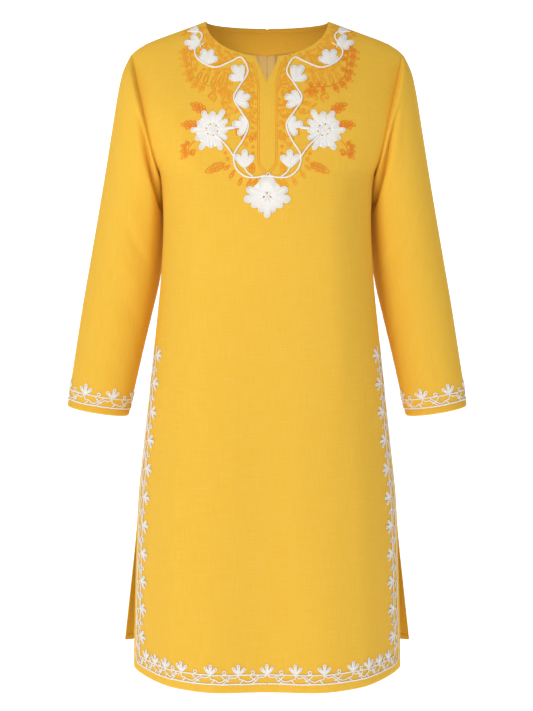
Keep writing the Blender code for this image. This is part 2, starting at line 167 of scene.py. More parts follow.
FRONT_FOLDS = (
    Fold(-90, 52, -215, 9), Fold(90, 52, -215, 9), Fold(0, 58, -260, -9),
    Fold(-172, 22, -520, -3), Fold(172, 22, -520, -3),
)
BACK_FOLDS = (
    Fold(-78, 46, -190, 10), Fold(78, 46, -190, 10), Fold(0, 40, -330, -10),
    Fold(-165, 42, -420, -8), Fold(165, 42, -420, -8),
)

Crease = namedtuple("Crease", "x z turn length width rise")

# Each crease: its middle, the way it runs in degrees from +X, its length and width, and how far
# it stands out, or in when negative
FRONT_CREASES = (
    Crease(-138, -196, 128, 70, 9, 1.6), Crease(-120, -212, 132, 60, 8, -1.2),
    Crease(141, -198, 50, 74, 9, 1.8), Crease(122, -216, 46, 62, 8, -1.3),
    Crease(-132, -262, 104, 110, 12, -1.2), Crease(134, -258, 77, 120, 12, -1.4),
    Crease(-52, -640, 91, 300, 17, -1.6), Crease(44, -700, 88, 260, 15, 1.2),
    Crease(122, -560, 86, 280, 14, -1.8), Crease(-134, -740, 93, 240, 15, 1.1),
)
BACK_CREASES = (
    Crease(-128, -150, 112, 90, 10, 1.6), Crease(128, -152, 68, 94, 10, 1.7),
    Crease(-40, -345, 12, 110, 12, -1.6), Crease(46, -352, 170, 100, 12, -1.4),
    Crease(-48, -660, 92, 300, 16, -1.8), Crease(40, -640, 88, 320, 16, -1.6),
    Crease(128, -620, 85, 260, 15, 1.6),
)


def creases_near(creases, x, z):
    """How far the short creases push the cloth out at this place."""
    rise = 0.0
    for crease in creases:
        dx, dz = x - crease.x, z - crease.z
        if abs(dx) + abs(dz) > 1.6 * crease.length:
            continue
        turn = math.radians(crease.turn)
        along = dx * math.cos(turn) + dz * math.sin(turn)
        across = dz * math.cos(turn) - dx * math.sin(turn)
        fade = math.exp(-((2.0 * along / crease.length) ** 2))
        rise += crease.rise * fade * math.exp(-((across / crease.width) ** 2))
    return rise


def folds_at(folds, x, z):
    rise = 0.0
    for fold in folds:
        grown = min(1.0, max(0.0, (fold.top_z - z) / (fold.top_z - HEM_Z)))
        if grown > 0.0:
            bump = math.exp(-(((x - fold.at_x) / fold.width) ** 2))
            rise += fold.hem_rise * grown**1.1 * bump
    return rise


# %% [markdown]
# ## One function gives the whole cloth
# With the tables and the folds, a single function can say where any place of the front or the
# back is. Everything that is sewn or embroidered later asks the same function, so a stitch sits
# on the cloth however the folds are changed. It also gives the way that the cloth faces there.

# %% Any place of the body
def shoulder_z(x):
    """Height of the shoulder line over x, carried on smoothly over the neck opening."""
    x = abs(x)
    if x < NECK_HALF_WIDTH:
        return SHOULDER_SLOPE * (NECK_HALF_WIDTH**2 - x**2) / (2 * NECK_HALF_WIDTH)
    rounding = max(0.0, x - SHOULDER_ROUND_FROM)
    return -SHOULDER_SLOPE * (x - NECK_HALF_WIDTH) - SHOULDER_ROUND * rounding**3


def rounded(share):
    """A quarter circle: 0 at the edge, rising steeply to 1."""
    return math.sqrt(1.0 - (1.0 - min(1.0, max(0.0, share))) ** 2)


def body_at(x, z, side):
    """The cloth's place at x and z, on the front or the back."""
    _, half_width, depth, edge_y, edge_open, hem_lift = level_at(side, z)
    from_edge = max(0.0, half_width - abs(x)) / SIDE_TURN
    open_end = rounded(edge_open)
    turned = (rounded(from_edge + edge_open) - open_end) / (1.0 - open_end)
    crown = 1.0 - CROWN * (x / CROWN_WIDTH) ** 2
    hang = rounded((shoulder_z(x) - z) / (FRONT_TURN if side == FRONT else BACK_TURN))
    out = depth * crown * turned * hang
    out += folds_at(FRONT_FOLDS if side == FRONT else BACK_FOLDS, x, z) * turned
    out += creases_near(FRONT_CREASES if side == FRONT else BACK_CREASES, x, z) * turned * hang
    lift = hem_lift * (abs(x) / half_width) ** 3
    return Vector((x, edge_y + side * out, z + lift))


BESIDE = 0.6


def facing_way(x, z, side):
    """The way the cloth faces at this place, away from the wearer."""
    across = body_at(x + BESIDE, z, side) - body_at(x - BESIDE, z, side)
    up = body_at(x, z + BESIDE, side) - body_at(x, z - BESIDE, side)
    return (across.cross(up) * -side).normalized()


def laid_on(x, z, side, out):
    """A place lying off the cloth: outside it, or inside it where out is negative."""
    return body_at(x, z, side) + facing_way(x, z, side) * out


print("the front's centre at the bust:", [round(v, 1) for v in body_at(0, -250, FRONT)])

# %% [markdown]
# ## The cloth's finish
# Plain weave is one thread over and one under, all across the cloth. At arm's length the threads
# can't be counted, but they stop the cloth from looking like plastic, and thicker places in the
# yarn leave short pale streaks. Both come from patterns laid out in metres on the cloth itself,
# so they follow the grain of each piece that was cut. The wrong side shows a paler, greyer tan.

# %% Colours, as the eye sees them
def seen(red, green, blue):
    """A colour read off a picture, from 0 to 255, as the amount of light it stands for."""
    made = []
    for part in (red, green, blue):
        share = part / 255.0
        made.append(share / 12.92 if share <= 0.04045 else ((share + 0.055) / 1.055) ** 2.4)
    return made


MUSTARD = seen(238, 186, 55)
MUSTARD_SLUB = seen(244, 197, 80)
# The facing is the same cotton as the front; its darker mustard is painted shade for the inside
# of the neck
FACING_SHADE_MUSTARD = seen(216, 160, 46)
FACING_SHADE_SLUB = seen(222, 168, 56)
# The slit strip is the same cotton too; its deeper mustard is painted shade for where it hangs
# behind the front
SLIT_SHADE_MUSTARD = seen(202, 140, 22)
SLIT_SHADE_SLUB = seen(206, 146, 30)
WRONG_SIDE = seen(204, 168, 100)
WRONG_SIDE_SLUB = seen(212, 178, 114)
WHITE_THREAD = seen(250, 247, 242)
ORANGE_THREAD = seen(255, 172, 40)
# A real darker thread for the leaves near the rosettes and the drops; on the fern on the wearer's
# left it is painted shade
DEEP_ORANGE_AND_SHADE_THREAD = seen(250, 142, 30)
SEWING_THREAD = seen(226, 168, 62)


# %% A woven finish
def add(tree, kind, joined=(), **values):
    """A new node. joined pairs its sockets with other nodes' outputs; values go in by name."""
    node = tree.nodes.new(kind)
    for name, value in values.items():
        node.inputs[name.replace("_", " ").title()].default_value = value
    for socket, output in joined:
        tree.links.new(output, node.inputs[socket])
    return node


def maths(tree, operation, *outputs):
    """A sum, product or the like of the outputs of other nodes."""
    node = add(tree, "ShaderNodeMath", enumerate(outputs))
    node.operation = operation
    return node


# A wave texture at scale 1 has one band in every 0.314 of its coordinate
ONE_BAND = 0.314
SLUB_HEIGHT = 0.9


def new_finish(name, **sockets):
    """A material, its node tree and its shader, with the shader's sockets set by name."""
    finish = bpy.data.materials.new(name)
    finish.use_nodes = True
    shader = finish.node_tree.nodes["Principled BSDF"]
    for socket, value in sockets.items():
        shader.inputs[socket.replace("_", " ")].default_value = value
    return finish, finish.node_tree, shader


def woven(name, colour, slub_colour, rough, thread=0.00042, fuzz=0.25):
    """Plain weave with slubs. thread is the distance between two threads, in metres."""
    tint = (*slub_colour, 1.0)
    finish, tree, shader = new_finish(
        name, Roughness=rough, Sheen_Weight=fuzz, Sheen_Roughness=0.55, Sheen_Tint=tint
    )
    shader.inputs["Specular IOR Level"].default_value = 0.22
    grain = tree.nodes.new("ShaderNodeUVMap").outputs["UV"]

    heights, streaks = [], []
    for direction, stretch in (("X", (26.0, 1500.0, 1.0)), ("Y", (1500.0, 26.0, 1.0))):
        spread = add(tree, "ShaderNodeVectorMath", [(0, grain)])
        spread.operation = "SCALE"
        spread.inputs["Scale"].default_value = ONE_BAND / thread
        wave = add(
            tree,
            "ShaderNodeTexWave",
            [("Vector", spread.outputs["Vector"])],
            scale=1.0,
            distortion=0.0,
        )
        wave.wave_type, wave.bands_direction = "BANDS", direction
        heights.append(wave.outputs["Fac"])
        yarn = add(tree, "ShaderNodeMapping", [("Vector", grain)], scale=stretch)
        slub = add(
            tree,
            "ShaderNodeTexNoise",
            [("Vector", yarn.outputs["Vector"])],
            scale=1.0,
            detail=2.0,
            roughness=0.6,
        )
        streaks.append(slub.outputs["Fac"])

    threads = maths(tree, "MULTIPLY", *heights)
    both = maths(tree, "ADD", *streaks)
    slubs = add(
        tree, "ShaderNodeMapRange", [("Value", both.outputs[0])], from_min=0.82, from_max=1.3
    ).outputs["Result"]

    mottled = tree.nodes.new("ShaderNodeMix")
    mottled.data_type = "RGBA"
    mottled.inputs["A"].default_value = (*colour, 1.0)
    mottled.inputs["B"].default_value = tint
    tree.links.new(slubs, mottled.inputs["Factor"])
    tree.links.new(mottled.outputs["Result"], shader.inputs["Base Color"])

    raised = maths(tree, "MULTIPLY_ADD", slubs)
    raised.inputs[1].default_value = SLUB_HEIGHT
    tree.links.new(threads.outputs[0], raised.inputs[2])
    height = [("Height", raised.outputs[0])]
    bump = add(tree, "ShaderNodeBump", height, strength=0.35, distance=0.00016)
    tree.links.new(bump.outputs["Normal"], shader.inputs["Normal"])
    return finish


mustard_cotton = woven("mustard cotton", MUSTARD, MUSTARD_SLUB, 0.88)
wrong_side = woven("wrong side of the cotton", WRONG_SIDE, WRONG_SIDE_SLUB, 0.92)
shaded_facing_cotton = woven("facing cotton with painted shade", FACING_SHADE_MUSTARD, FACING_SHADE_SLUB, 0.9)
shaded_slit_cotton = woven("slit strip cotton with painted shade", SLIT_SHADE_MUSTARD, SLIT_SHADE_SLUB, 0.9)
cottons = (mustard_cotton, wrong_side, shaded_facing_cotton, shaded_slit_cotton)
print("cloth finishes:", " | ".join(cotton.name for cotton in cottons))

# %% [markdown]
# ## A sheet of cloth from rows of points
# Cloth is nearly flat, so each cut piece is a grid of points with a thickness added on its wrong
# side. The grid also carries a flat map of itself, measured in metres along the cloth, and that
# is what keeps the threads the same size on a narrow sleeve and on the wide hem.


# %% Measure and make a sheet
def lengths_along(points):
    """How far each point is from the first, measured along the row."""
    total = [0.0]
    for before, here in zip(points, points[1:]):
        total.append(total[-1] + (here - before).length)
    return total


def mesh_piece(name, points, faces, grain, *finishes):
    """A piece from points in millimetres. grain is its flat map: two distances a face corner."""
    mesh = bpy.data.meshes.new(name)
    mesh.from_pydata([tuple(point * MM) for point in points], [], faces)
    flat_map = mesh.uv_layers.new(name="grain")
    flat_map.data.foreach_set("uv", [value * MM for pair in grain for value in pair])
    for finish in finishes:
        mesh.materials.append(finish)
    mesh.shade_smooth()
    made = bpy.data.objects.new(name, mesh)
    bpy.context.scene.collection.objects.link(made)
    return made


def make_sheet(name, rows, right_side, left_side, thick=CLOTH, around=False, map_row=0):
    """A sheet on rows of points in millimetres. Its thickness goes to the wrong side."""
    columns = len(rows[0])
    across = columns if around else columns - 1
    middle = 0 if around else columns // 2
    widths, heights = [], []
    for row in rows:
        ring = row + row[:1] if around else row
        along = lengths_along(ring)
        widths.append([d - along[middle] for d in along])
    for i in range(columns):
        up = lengths_along([row[i] for row in rows])
        heights.append([d - up[map_row] for d in up])

    points = [point for row in rows for point in row]
    faces, grain = [], []
    for j in range(len(rows) - 1):
        for i in range(across):
            k = (i + 1) % columns
            low, high = j * columns, (j + 1) * columns
            faces.append((low + i, low + k, high + k, high + i))
            for row, at, end in ((j, i, i), (j, k, i + 1), (j + 1, k, i + 1), (j + 1, i, i)):
                wide = widths[row][end]
                if around and i >= columns // 2:
                    wide -= widths[row][columns]
                grain.append((wide, heights[at][row]))
    made = mesh_piece(name, points, faces, grain, right_side, left_side)
    wall = made.modifiers.new("thickness of the cloth", "SOLIDIFY")
    wall.thickness = thick * MM
    wall.offset = -1.0
    wall.material_offset = 1
    return made


def cut_area(made):
    """The area of one side of a sheet, in square metres."""
    return sum(face.area for face in made.data.polygons)


# %% [markdown]
# ## The pull of a seam
# Where two pieces are sewn together, the needle draws the cloth in and both edges roll down into
# the seam. A sewn line also gathers the cloth a little, so it ripples beside the seam. Without
# this, seams look like cracks in a shell. Here, every point near a seam is moved towards the
# wearer by an amount that fades within a centimetre.


# %% How far a sewn line draws the cloth in
def ripple(along, wave, start):
    """A slow, uneven wave from 0 to 1 along a seam."""
    first = math.sin(2 * math.pi * along / wave + start)
    second = math.sin(2 * math.pi * along / (wave * 0.61) + 2.3 * start)
    return 0.5 + 0.25 * (first + second)


def seam_pull(near, along, start=0.0, depth=1.0):
    """Pull at a joined edge: near is the distance from it, along the place on it, in mm."""
    roll = math.exp(-((near / 1.7) ** 2))
    return depth * (roll + 0.75 * ripple(along, 17.0, start) * math.exp(-near / 5.5))


def hem_pull(near, along, stitch_at, start=0.0):
    """Pull at a free, turned edge that is stitched down stitch_at from it."""
    roll = 0.45 * math.exp(-((near / 0.9) ** 2))
    dent = 0.35 * math.exp(-(((near - stitch_at) / 1.3) ** 2))
    return roll + dent + 0.3 * ripple(along, 13.0, start) * math.exp(-near / (stitch_at + 3.0))


print("a seam draws the cloth in by", round(seam_pull(0.0, 0.0), 2), "mm")

# %% [markdown]
# ## Cutting the front and the back
# The front is one piece, from side to side. The back is two pieces with a seam down the middle.
# Each is laid out as rows that climb from the hem to the neck and the shoulder. The points are
# closer together at the edges, where the cloth turns most. The edges left over inside the back
# seam are pressed open, and they show the tan wrong side as the cloth beside them does.

# %% Rows and columns of a half
NEAR_EDGE = (0.0, 0.7, 1.6, 2.8, 4.6, 7.2, 10.5)
NEAR_HEM = (0.0, 0.7, 1.6, 2.8, 4.6, 7.0, 9.4, 11.6, 13.4, 15.6, 19.0)
HALF_ROUND = 235.0
NOTCH_LINES, NECK_LINES, SHOULDER_LINES = 6, 16, 18
ROWS_BELOW, ROWS_ABOVE = 148, 44
# Shares of a half's columns: across the notch, round the neck, along the shoulder
NOTCH_PART, NECK_PART, SHOULDER_PART = 2 / 13, 5 / 13, 6 / 13
NECK_END = 7 / 13


def neck_z(x, drop):
    """Height of the neck edge over x: half an ellipse hung between the side neck points."""
    share = min(1.0, abs(x) / NECK_HALF_WIDTH)
    return -drop * math.sqrt(1.0 - share**2)


def front_top_z(x):
    if x < NOTCH_HALF_WIDTH:
        share = (x / NOTCH_HALF_WIDTH) ** 1.15
        return blend(NOTCH_TIP_Z, neck_z(NOTCH_HALF_WIDTH, FRONT_NECK_DROP), share)
    if x < NECK_HALF_WIDTH:
        return neck_z(x, FRONT_NECK_DROP)
    return shoulder_z(x)


def back_top_z(x):
    return neck_z(x, BACK_NECK_DROP) if x < NECK_HALF_WIDTH else shoulder_z(x)


def top_x(share):
    """x on the top edge: across the notch, round the neck edge, then out along the shoulder."""
    if share <= NOTCH_PART:
        return NOTCH_HALF_WIDTH * share / NOTCH_PART
    if share <= NECK_END:
        part = (share - NOTCH_PART) / (NECK_END - NOTCH_PART)
        angle = math.acos(NOTCH_HALF_WIDTH / NECK_HALF_WIDTH) * (1 - part)
        return NECK_HALF_WIDTH * math.cos(angle)
    part = (share - NECK_END) / (1 - NECK_END)
    return blend(NECK_HALF_WIDTH, SHOULDER_HALF_WIDTH, part * (1.15 - 0.15 * part))


def column_shares():
    """The columns of a half, with one at the notch's edge and one at the side neck point."""
    shares = [NOTCH_PART * i / NOTCH_LINES for i in range(NOTCH_LINES)]
    shares += [NOTCH_PART + NECK_PART * i / NECK_LINES for i in range(NECK_LINES)]
    shares += [NECK_END + SHOULDER_PART * i / SHOULDER_LINES for i in range(SHOULDER_LINES - 2)]
    return shares + [1.0 - near / HALF_ROUND for near in reversed(NEAR_EDGE)]


def places_of_half(side, top_z):
    """Rows of (x, z), from the hem up, each from the centre out to the wearer's left."""
    shares = column_shares()
    below = [HEM_Z + near for near in NEAR_HEM]
    first = below[-1]
    below += [blend(first, ARMPIT_Z, (i + 1) / ROWS_BELOW) for i in range(ROWS_BELOW)]
    rows = []
    for z in below:
        half_width = level_at(side, z)[1]
        rows.append([(half_width * math.sin(math.pi / 2 * share), z) for share in shares])
    for j in range(1, ROWS_ABOVE + 1):
        up = (1 - math.cos(math.pi * j / ROWS_ABOVE)) / 2
        row = []
        for share in shares:
            x_top = top_x(share)
            x_low = ARMPIT_X * math.sin(math.pi / 2 * share)
            x, z = blend(x_low, x_top, up), blend(ARMPIT_Z, top_z(x_top), up)
            row.append((x, min(z, shoulder_z(x))))
        rows.append(row)
    return rows


print("rows of the front:", len(places_of_half(FRONT, front_top_z)))


# %% Lay a half on the body, drawn in at its seams
ARMHOLE_DEPTH = 0.4
# How far from a seam and from a hem the cloth still feels them, in mm
SEAM_REACH, HEM_REACH = 16.0, 20.0
FAR_OFF, LEAST_PULL = 99.0, 0.004
# How far in from its edge each turned edge is stitched down
SLIT_STITCH, HEM_STITCH = {FRONT: 2.0, BACK: 9.0}, {FRONT: 12.0, BACK: 10.0}
NECK_STITCH, CUFF_STITCH = 2.2, 12.5


def drawn_in(x, z, side, pull, near):
    """A place pulled in by a seam. At the seam itself, front and back are pulled the same way."""
    shared = math.exp(-near / 3.0)
    way = facing_way(x, z, side) + facing_way(x, z, -side) * shared
    return body_at(x, z, side) - way.normalized() * pull


def lay_half(side, top_z, centre_seam=False):
    """The rows of a half as points, with its seams and stitched edges drawn in."""
    places = places_of_half(side, top_z)
    flat = [[body_at(x, z, side) for x, z in row] for row in places]
    columns = len(flat[0])
    neck_columns = sum(1 for share in column_shares() if share < NECK_END - 0.001)
    from_top = []
    for i in range(columns):
        up = lengths_along([row[i] for row in reversed(flat)])
        from_top.append(list(reversed(up)))
    laid = []
    for j, (place_row, row) in enumerate(zip(places, flat)):
        along = lengths_along(list(reversed(row)))
        from_side = list(reversed(along))
        from_centre = lengths_along(row)
        laid_row = []
        for i, (x, z) in enumerate(place_row):
            pull, near = 0.0, FAR_OFF
            if from_side[i] < SEAM_REACH:
                if z > SLIT_TOP_Z:
                    near = from_side[i]
                if z > ARMPIT_Z:
                    pull += seam_pull(from_side[i], z, 0.7 * side, ARMHOLE_DEPTH)
                elif z > SLIT_TOP_Z:
                    pull += seam_pull(from_side[i], z, 0.7 * side)
                else:
                    pull += hem_pull(from_side[i], z, SLIT_STITCH[side], 1.9 * side)
            if from_top[i][j] < SEAM_REACH:
                if i >= neck_columns:
                    near = min(near, from_top[i][j])
                    pull += seam_pull(from_top[i][j], x, 1.1)
                else:
                    pull += hem_pull(from_top[i][j], x, NECK_STITCH, 0.4)
            if z - HEM_Z < HEM_REACH:
                pull += hem_pull(z - HEM_Z, x, HEM_STITCH[side], 3.1)
            if centre_seam and from_centre[i] < SEAM_REACH:
                pull += seam_pull(from_centre[i], z, 2.6)
            laid_row.append(drawn_in(x, z, side, pull, near) if pull > LEAST_PULL else row[i])
        laid.append(laid_row)
    return laid


def mirrored(point):
    return Vector((-point.x, point.y, point.z))


def turned_back(rows):
    """The same rows, each from its other end, which turns the sheet's right side over."""
    return [list(reversed(row)) for row in rows]


def mirrored_rows(rows):
    return [[mirrored(point) for point in row] for row in rows]


front_half = lay_half(FRONT, front_top_z)
front_rows = [[mirrored(p) for p in reversed(row[1:])] + row for row in front_half]
front = make_sheet("kurta_front", front_rows, mustard_cotton, wrong_side, map_row=80)
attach(front, "root")
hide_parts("front")
print("front:", len(front.data.polygons), "faces,", round(cut_area(front), 4), "square metres")

# %% The two back halves
back_half = lay_half(BACK, back_top_z, centre_seam=True)
for name, half_rows in (("left", turned_back(back_half)), ("right", mirrored_rows(back_half))):
    half = make_sheet(f"kurta_back_{name}", half_rows, mustard_cotton, wrong_side, map_row=80)
    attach(half, "root")
    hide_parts(f"back_{name}")
    print("back", name + ":", len(half.data.polygons), "faces,", round(cut_area(half), 4))


# %% The allowances of the centre back seam, pressed open
ACROSS_ALLOWANCE = (0.45, 1.0, 4.0, 9.0, 14.4)
ALLOWANCE_STEP = 6.0


def allowance_rows():
    """Rows of one seam allowance, which lies against the wrong side beside the seam."""
    rows = []
    z = HEM_Z + 1.0
    while z < back_top_z(0.0) - 1.5:
        rows.append([laid_on(x, z, BACK, -(CLOTH + 0.5)) for x in ACROSS_ALLOWANCE])
        z += ALLOWANCE_STEP
    return rows


allowed = allowance_rows()
for name, rows in (("left", turned_back(allowed)), ("right", mirrored_rows(allowed))):
    allowance = make_sheet(f"seam_allowance_{name}", rows, wrong_side, wrong_side, thick=0.7)
    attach(allowance, "root")
    print("allowance", name + ":", round(cut_area(allowance), 5), "square metres")

# %% [markdown]
# ## The sleeves
# Each sleeve starts as the shape of the armhole and narrows to an oval cuff. It is pinned down by
# a dozen rings, and a smooth curve runs down the sleeve through them. Two things make it look
# like cloth and not a pipe: a faint pressed crease down the outer side, from ironing it flat, and
# slanting drags where the sleeve bends a little at the elbow. The deepest fold runs from the
# front of the armhole to the armpit, where the cloth for a lifted arm has nowhere to go.

# %% Rings of a sleeve, on the wearer's left
SleeveRing = namedtuple("SleeveRing", "outer_x outer_z inner_x inner_z y half_depth")

SLEEVE_RINGS = (
    SleeveRing(208.5, -58, 160.5, -233, 5, 55), SleeveRing(217, -76, 158, -240, 9, 58),
    SleeveRing(224, -103, 156.5, -250, 15, 60), SleeveRing(232, -146, 155.5, -264, 22, 61.5),
    SleeveRing(240, -190, 155, -283, 29, 62), SleeveRing(249, -240, 155.5, -310, 34, 61),
    SleeveRing(260, -300, 159, -352, 37, 59), SleeveRing(270.5, -358, 165.5, -394, 37, 56.5),
    SleeveRing(281.5, -420, 178, -446, 34, 53), SleeveRing(291.5, -483, 192, -504, 29, 49.5),
    SleeveRing(301, -545, 205, -562, 23, 46), SleeveRing(306, -579, 212.5, -594.5, 20, 44.5),
)
SLEEVE_LINES = 96
LAST_RING = len(SLEEVE_RINGS)
# Millimetres between the last two rings, where the cuff is
CUFF_RING_GAP = 34.5


def armhole():
    """Points round the armhole seam, from the shoulder down the front and up the back."""
    half = SLEEVE_LINES // 2
    shares = [1.0] + [1.0 - (1 - math.cos(math.pi * j / half)) / 2 for j in range(1, half + 1)]
    loop = []
    for side, steps in ((FRONT, shares[:-1]), (BACK, list(reversed(shares))[:-1])):
        for share in steps:
            x = blend(ARMPIT_X, SHOULDER_HALF_WIDTH, share)
            z = blend(ARMPIT_Z, shoulder_z(SHOULDER_HALF_WIDTH), share)
            loop.append(body_at(x, min(z, shoulder_z(x)), side))
    return loop


ARMHOLE = armhole()


def ring_point(number, turn):
    """A point of a ring: 0 is the armhole. turn goes round once from 0, the outer side."""
    if number == 0:
        place = (turn % 1.0) * SLEEVE_LINES
        below = int(place) % SLEEVE_LINES
        return ARMHOLE[below].lerp(ARMHOLE[(below + 1) % SLEEVE_LINES], place - int(place))
    ring = SLEEVE_RINGS[number - 1]
    outer = Vector((ring.outer_x, ring.y, ring.outer_z))
    inner = Vector((ring.inner_x, ring.y, ring.inner_z))
    angle = 2 * math.pi * turn
    forward = Vector((0.0, -ring.half_depth * math.sin(angle), 0.0))
    return (outer + inner) / 2 + (outer - inner) / 2 * math.cos(angle) + forward


print("the armhole is", round(lengths_along(ARMHOLE + ARMHOLE[:1])[-1]), "mm round")

# %% Creases of a sleeve
SleeveCrease = namedtuple("SleeveCrease", "turn_top down_top turn_low down_low width rise")

# Where each crease starts and ends: its turn round the sleeve and how many rings down
SLEEVE_CREASES = (
    SleeveCrease(0.085, 0.8, 0.08, 12.4, 3, 0.8), SleeveCrease(0.32, 0.9, 0.36, 7.6, 14, 3),
    SleeveCrease(0.232, 1.4, 0.462, 5, 17, -15), SleeveCrease(0.44, 1.8, 0.445, 9, 17, -3),
    SleeveCrease(0.18, 2.2, 0.235, 5.2, 12, -1.3), SleeveCrease(0.2, 6.4, 0.37, 7.5, 9, -1.8),
    SleeveCrease(0.16, 7.3, 0.36, 8.3, 9, 1.4), SleeveCrease(0.25, 8.6, 0.4, 9.2, 8, -1.2),
    SleeveCrease(0.24, 9, 0.21, 11.6, 9, -0.9), SleeveCrease(0.62, 1, 0.6, 6.5, 15, -2.6),
    SleeveCrease(0.7, 1.2, 0.69, 6, 14, 2), SleeveCrease(0.86, 5.8, 0.66, 7, 10, -2.2),
    SleeveCrease(0.88, 7, 0.64, 8.2, 9, -1.6), SleeveCrease(0.8, 9.4, 0.78, 11.6, 9, -0.9),
)
# The size of the flat drawing that the creases lie on: from ring to ring, and round the sleeve
RING_GAP = 48.0
GIRTH = 390.0


def sleeve_crease_rise(turn, down):
    """How far the creases push a sleeve out, turn round it and down rings below the armhole."""
    rise = 0.0
    for crease in SLEEVE_CREASES:
        start = Vector((crease.turn_top * GIRTH, crease.down_top * RING_GAP))
        run = Vector((crease.turn_low * GIRTH, crease.down_low * RING_GAP)) - start
        away = Vector((turn * GIRTH, down * RING_GAP)) - start
        share = away.dot(run) / run.length_squared
        if not 0.0 < share < 1.0:
            continue
        across = (away - run * share).length / crease.width
        rise += crease.rise * math.sin(math.pi * share) ** 0.8 * math.exp(-(across**2))
    return rise


def smooth_sleeve(turn, down):
    """The sleeve's place before its creases, on a smooth curve through the rings."""
    at = min(int(down), LAST_RING - 1)
    t = down - at
    low, high = ring_point(at, turn), ring_point(at + 1, turn)
    before = ring_point(at - 1, turn) if at else low * 2 - high
    after = ring_point(at + 2, turn) if at + 2 <= LAST_RING else high * 2 - low
    bent = low * 2 + (high - before) * t + (before * 2 - low * 5 + high * 4 - after) * t**2
    return (bent + (low * 3 - before - high * 3 + after) * t**3) / 2


def sleeve_out_way(turn, down):
    """The way the sleeve faces at this place, away from the arm."""
    down = min(max(down, 0.02), LAST_RING - 0.02)
    around = smooth_sleeve(turn + 0.004, down) - smooth_sleeve(turn - 0.004, down)
    along = smooth_sleeve(turn, down + 0.02) - smooth_sleeve(turn, down - 0.02)
    return around.cross(along).normalized()


def sleeve_at(turn, down, out=0.0):
    """A place on the sleeve of the wearer's left, or lying off it."""
    way = sleeve_out_way(turn, down)
    return smooth_sleeve(turn, down) + way * (sleeve_crease_rise(turn % 1.0, down) + out)


front_way = sleeve_out_way(0.25, 6.0)
print("the front of the sleeve faces", [round(v, 2) for v in front_way])

# %% Lay a sleeve out and mirror it
ROWS_IN_EACH = (5, 4, 6, 9, 9, 10, 12, 12, 13, 13, 13, 4)
NEAR_ARMHOLE = (0.0, 0.03, 0.08, 0.15, 0.25)
EVEN_FROM, EVEN_TO = 0.3, 11.42
# Girths that turn a share of the sleeve's round into millimetres along a seam
ARMHOLE_GIRTH, UNDERARM_GIRTH, CUFF_GIRTH = 437.0, 380.0, 288.0


def sleeve_steps():
    """How far down each row of a sleeve is, in rings, closer together at both ends."""
    steps = list(NEAR_ARMHOLE)
    for number, count in enumerate(ROWS_IN_EACH):
        downs = [number + i / count for i in range(count)]
        steps += [down for down in downs if EVEN_FROM < down < EVEN_TO]
    return steps + [LAST_RING - near / CUFF_RING_GAP for near in reversed(NEAR_HEM)]


def tucked_in(far, deep):
    """A row of the seam allowance at the sleeve's top, which lies inside the body."""
    row = []
    for i, point in enumerate(ARMHOLE):
        side = FRONT if i < SLEEVE_LINES // 2 else BACK
        row.append(laid_on(point.x - far, min(point.z, shoulder_z(point.x) - deep), side, -deep))
    return row


def lay_sleeve():
    rows = []
    for down in sleeve_steps():
        row = []
        for i in range(SLEEVE_LINES):
            turn = i / SLEEVE_LINES
            near_top = (smooth_sleeve(turn, down) - ring_point(0, turn)).length
            pull = 0.0
            if near_top < SEAM_REACH:
                pull = seam_pull(near_top, turn * ARMHOLE_GIRTH, 0.2, ARMHOLE_DEPTH)
            near_cuff = (LAST_RING - down) * CUFF_RING_GAP
            if near_cuff < HEM_REACH:
                pull += hem_pull(near_cuff, turn * CUFF_GIRTH, CUFF_STITCH, 1.3)
            near_underarm = abs(turn - 0.5) * UNDERARM_GIRTH
            if near_underarm < SEAM_REACH:
                pull += seam_pull(near_underarm, down * RING_GAP, 0.9)
            row.append(sleeve_at(turn, down, -pull))
        rows.append(row)
    return [tucked_in(6.0, 2.5), tucked_in(1.2, 2.1)] + rows


sleeve_rows = lay_sleeve()
for name, rows in (
    ("left", sleeve_rows),
    ("right", [[mirrored(p) for p in row[:1] + row[:0:-1]] for row in sleeve_rows]),
):
    sleeve = make_sheet(
        f"kurta_sleeve_{name}", rows, mustard_cotton, wrong_side, around=True, map_row=0
    )
    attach(sleeve, "root")
    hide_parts(f"sleeve_{name}")
    print("sleeve", name + ":", len(sleeve.data.polygons), "faces,", round(cut_area(sleeve), 4))

# %% [markdown]
# ## The facing and the turned slit edges
# A facing is a second, shaped piece sewn along the neck edge and folded to the inside, so that
# the edge is clean. It is cut from the same mustard cotton as the front; the darker mustard that
# shows through the open neck, against the tan wrong side, is painted shade for the inside of the
# neck. Along each slit the back's edge is turned to the inside as a narrow strip, which shows its
# right side where the back swings out behind the front. Its mustard is deeper, because it hangs
# in a deep shade that soft light alone would not give, and at its foot it lies over the turned
# hem.

# %% The facing inside the back neck
FACING_LIES = 1.0
PAST_NECK = 2 / 13


def facing_rows():
    """Rows of the facing from its lower edge to the neck edge, on the wearer's left half."""
    rows = []
    lines = [NECK_END * i / 22 for i in range(22)]
    lines += [NECK_END + PAST_NECK * i / 6 for i in range(7)]
    for j in range(17):
        share = 1.0 - (1.0 - j / 16) ** 1.3
        row = []
        for line in lines:
            x = top_x(line)
            top = back_top_z(x)
            low = top - FACING_DEPTH + 0.10 * abs(x)
            z = min(blend(low, top - 0.2, share), shoulder_z(x) - 0.1)
            near = blend(FACING_DEPTH, 0.0, share)
            pull = 0.3 * math.exp(-(((near - 4.0) / 1.2) ** 2)) * ripple(x, 9.0, 0.3)
            row.append(laid_on(x, z, BACK, -(CLOTH + FACING_LIES + pull)))
        rows.append(row)
    return rows


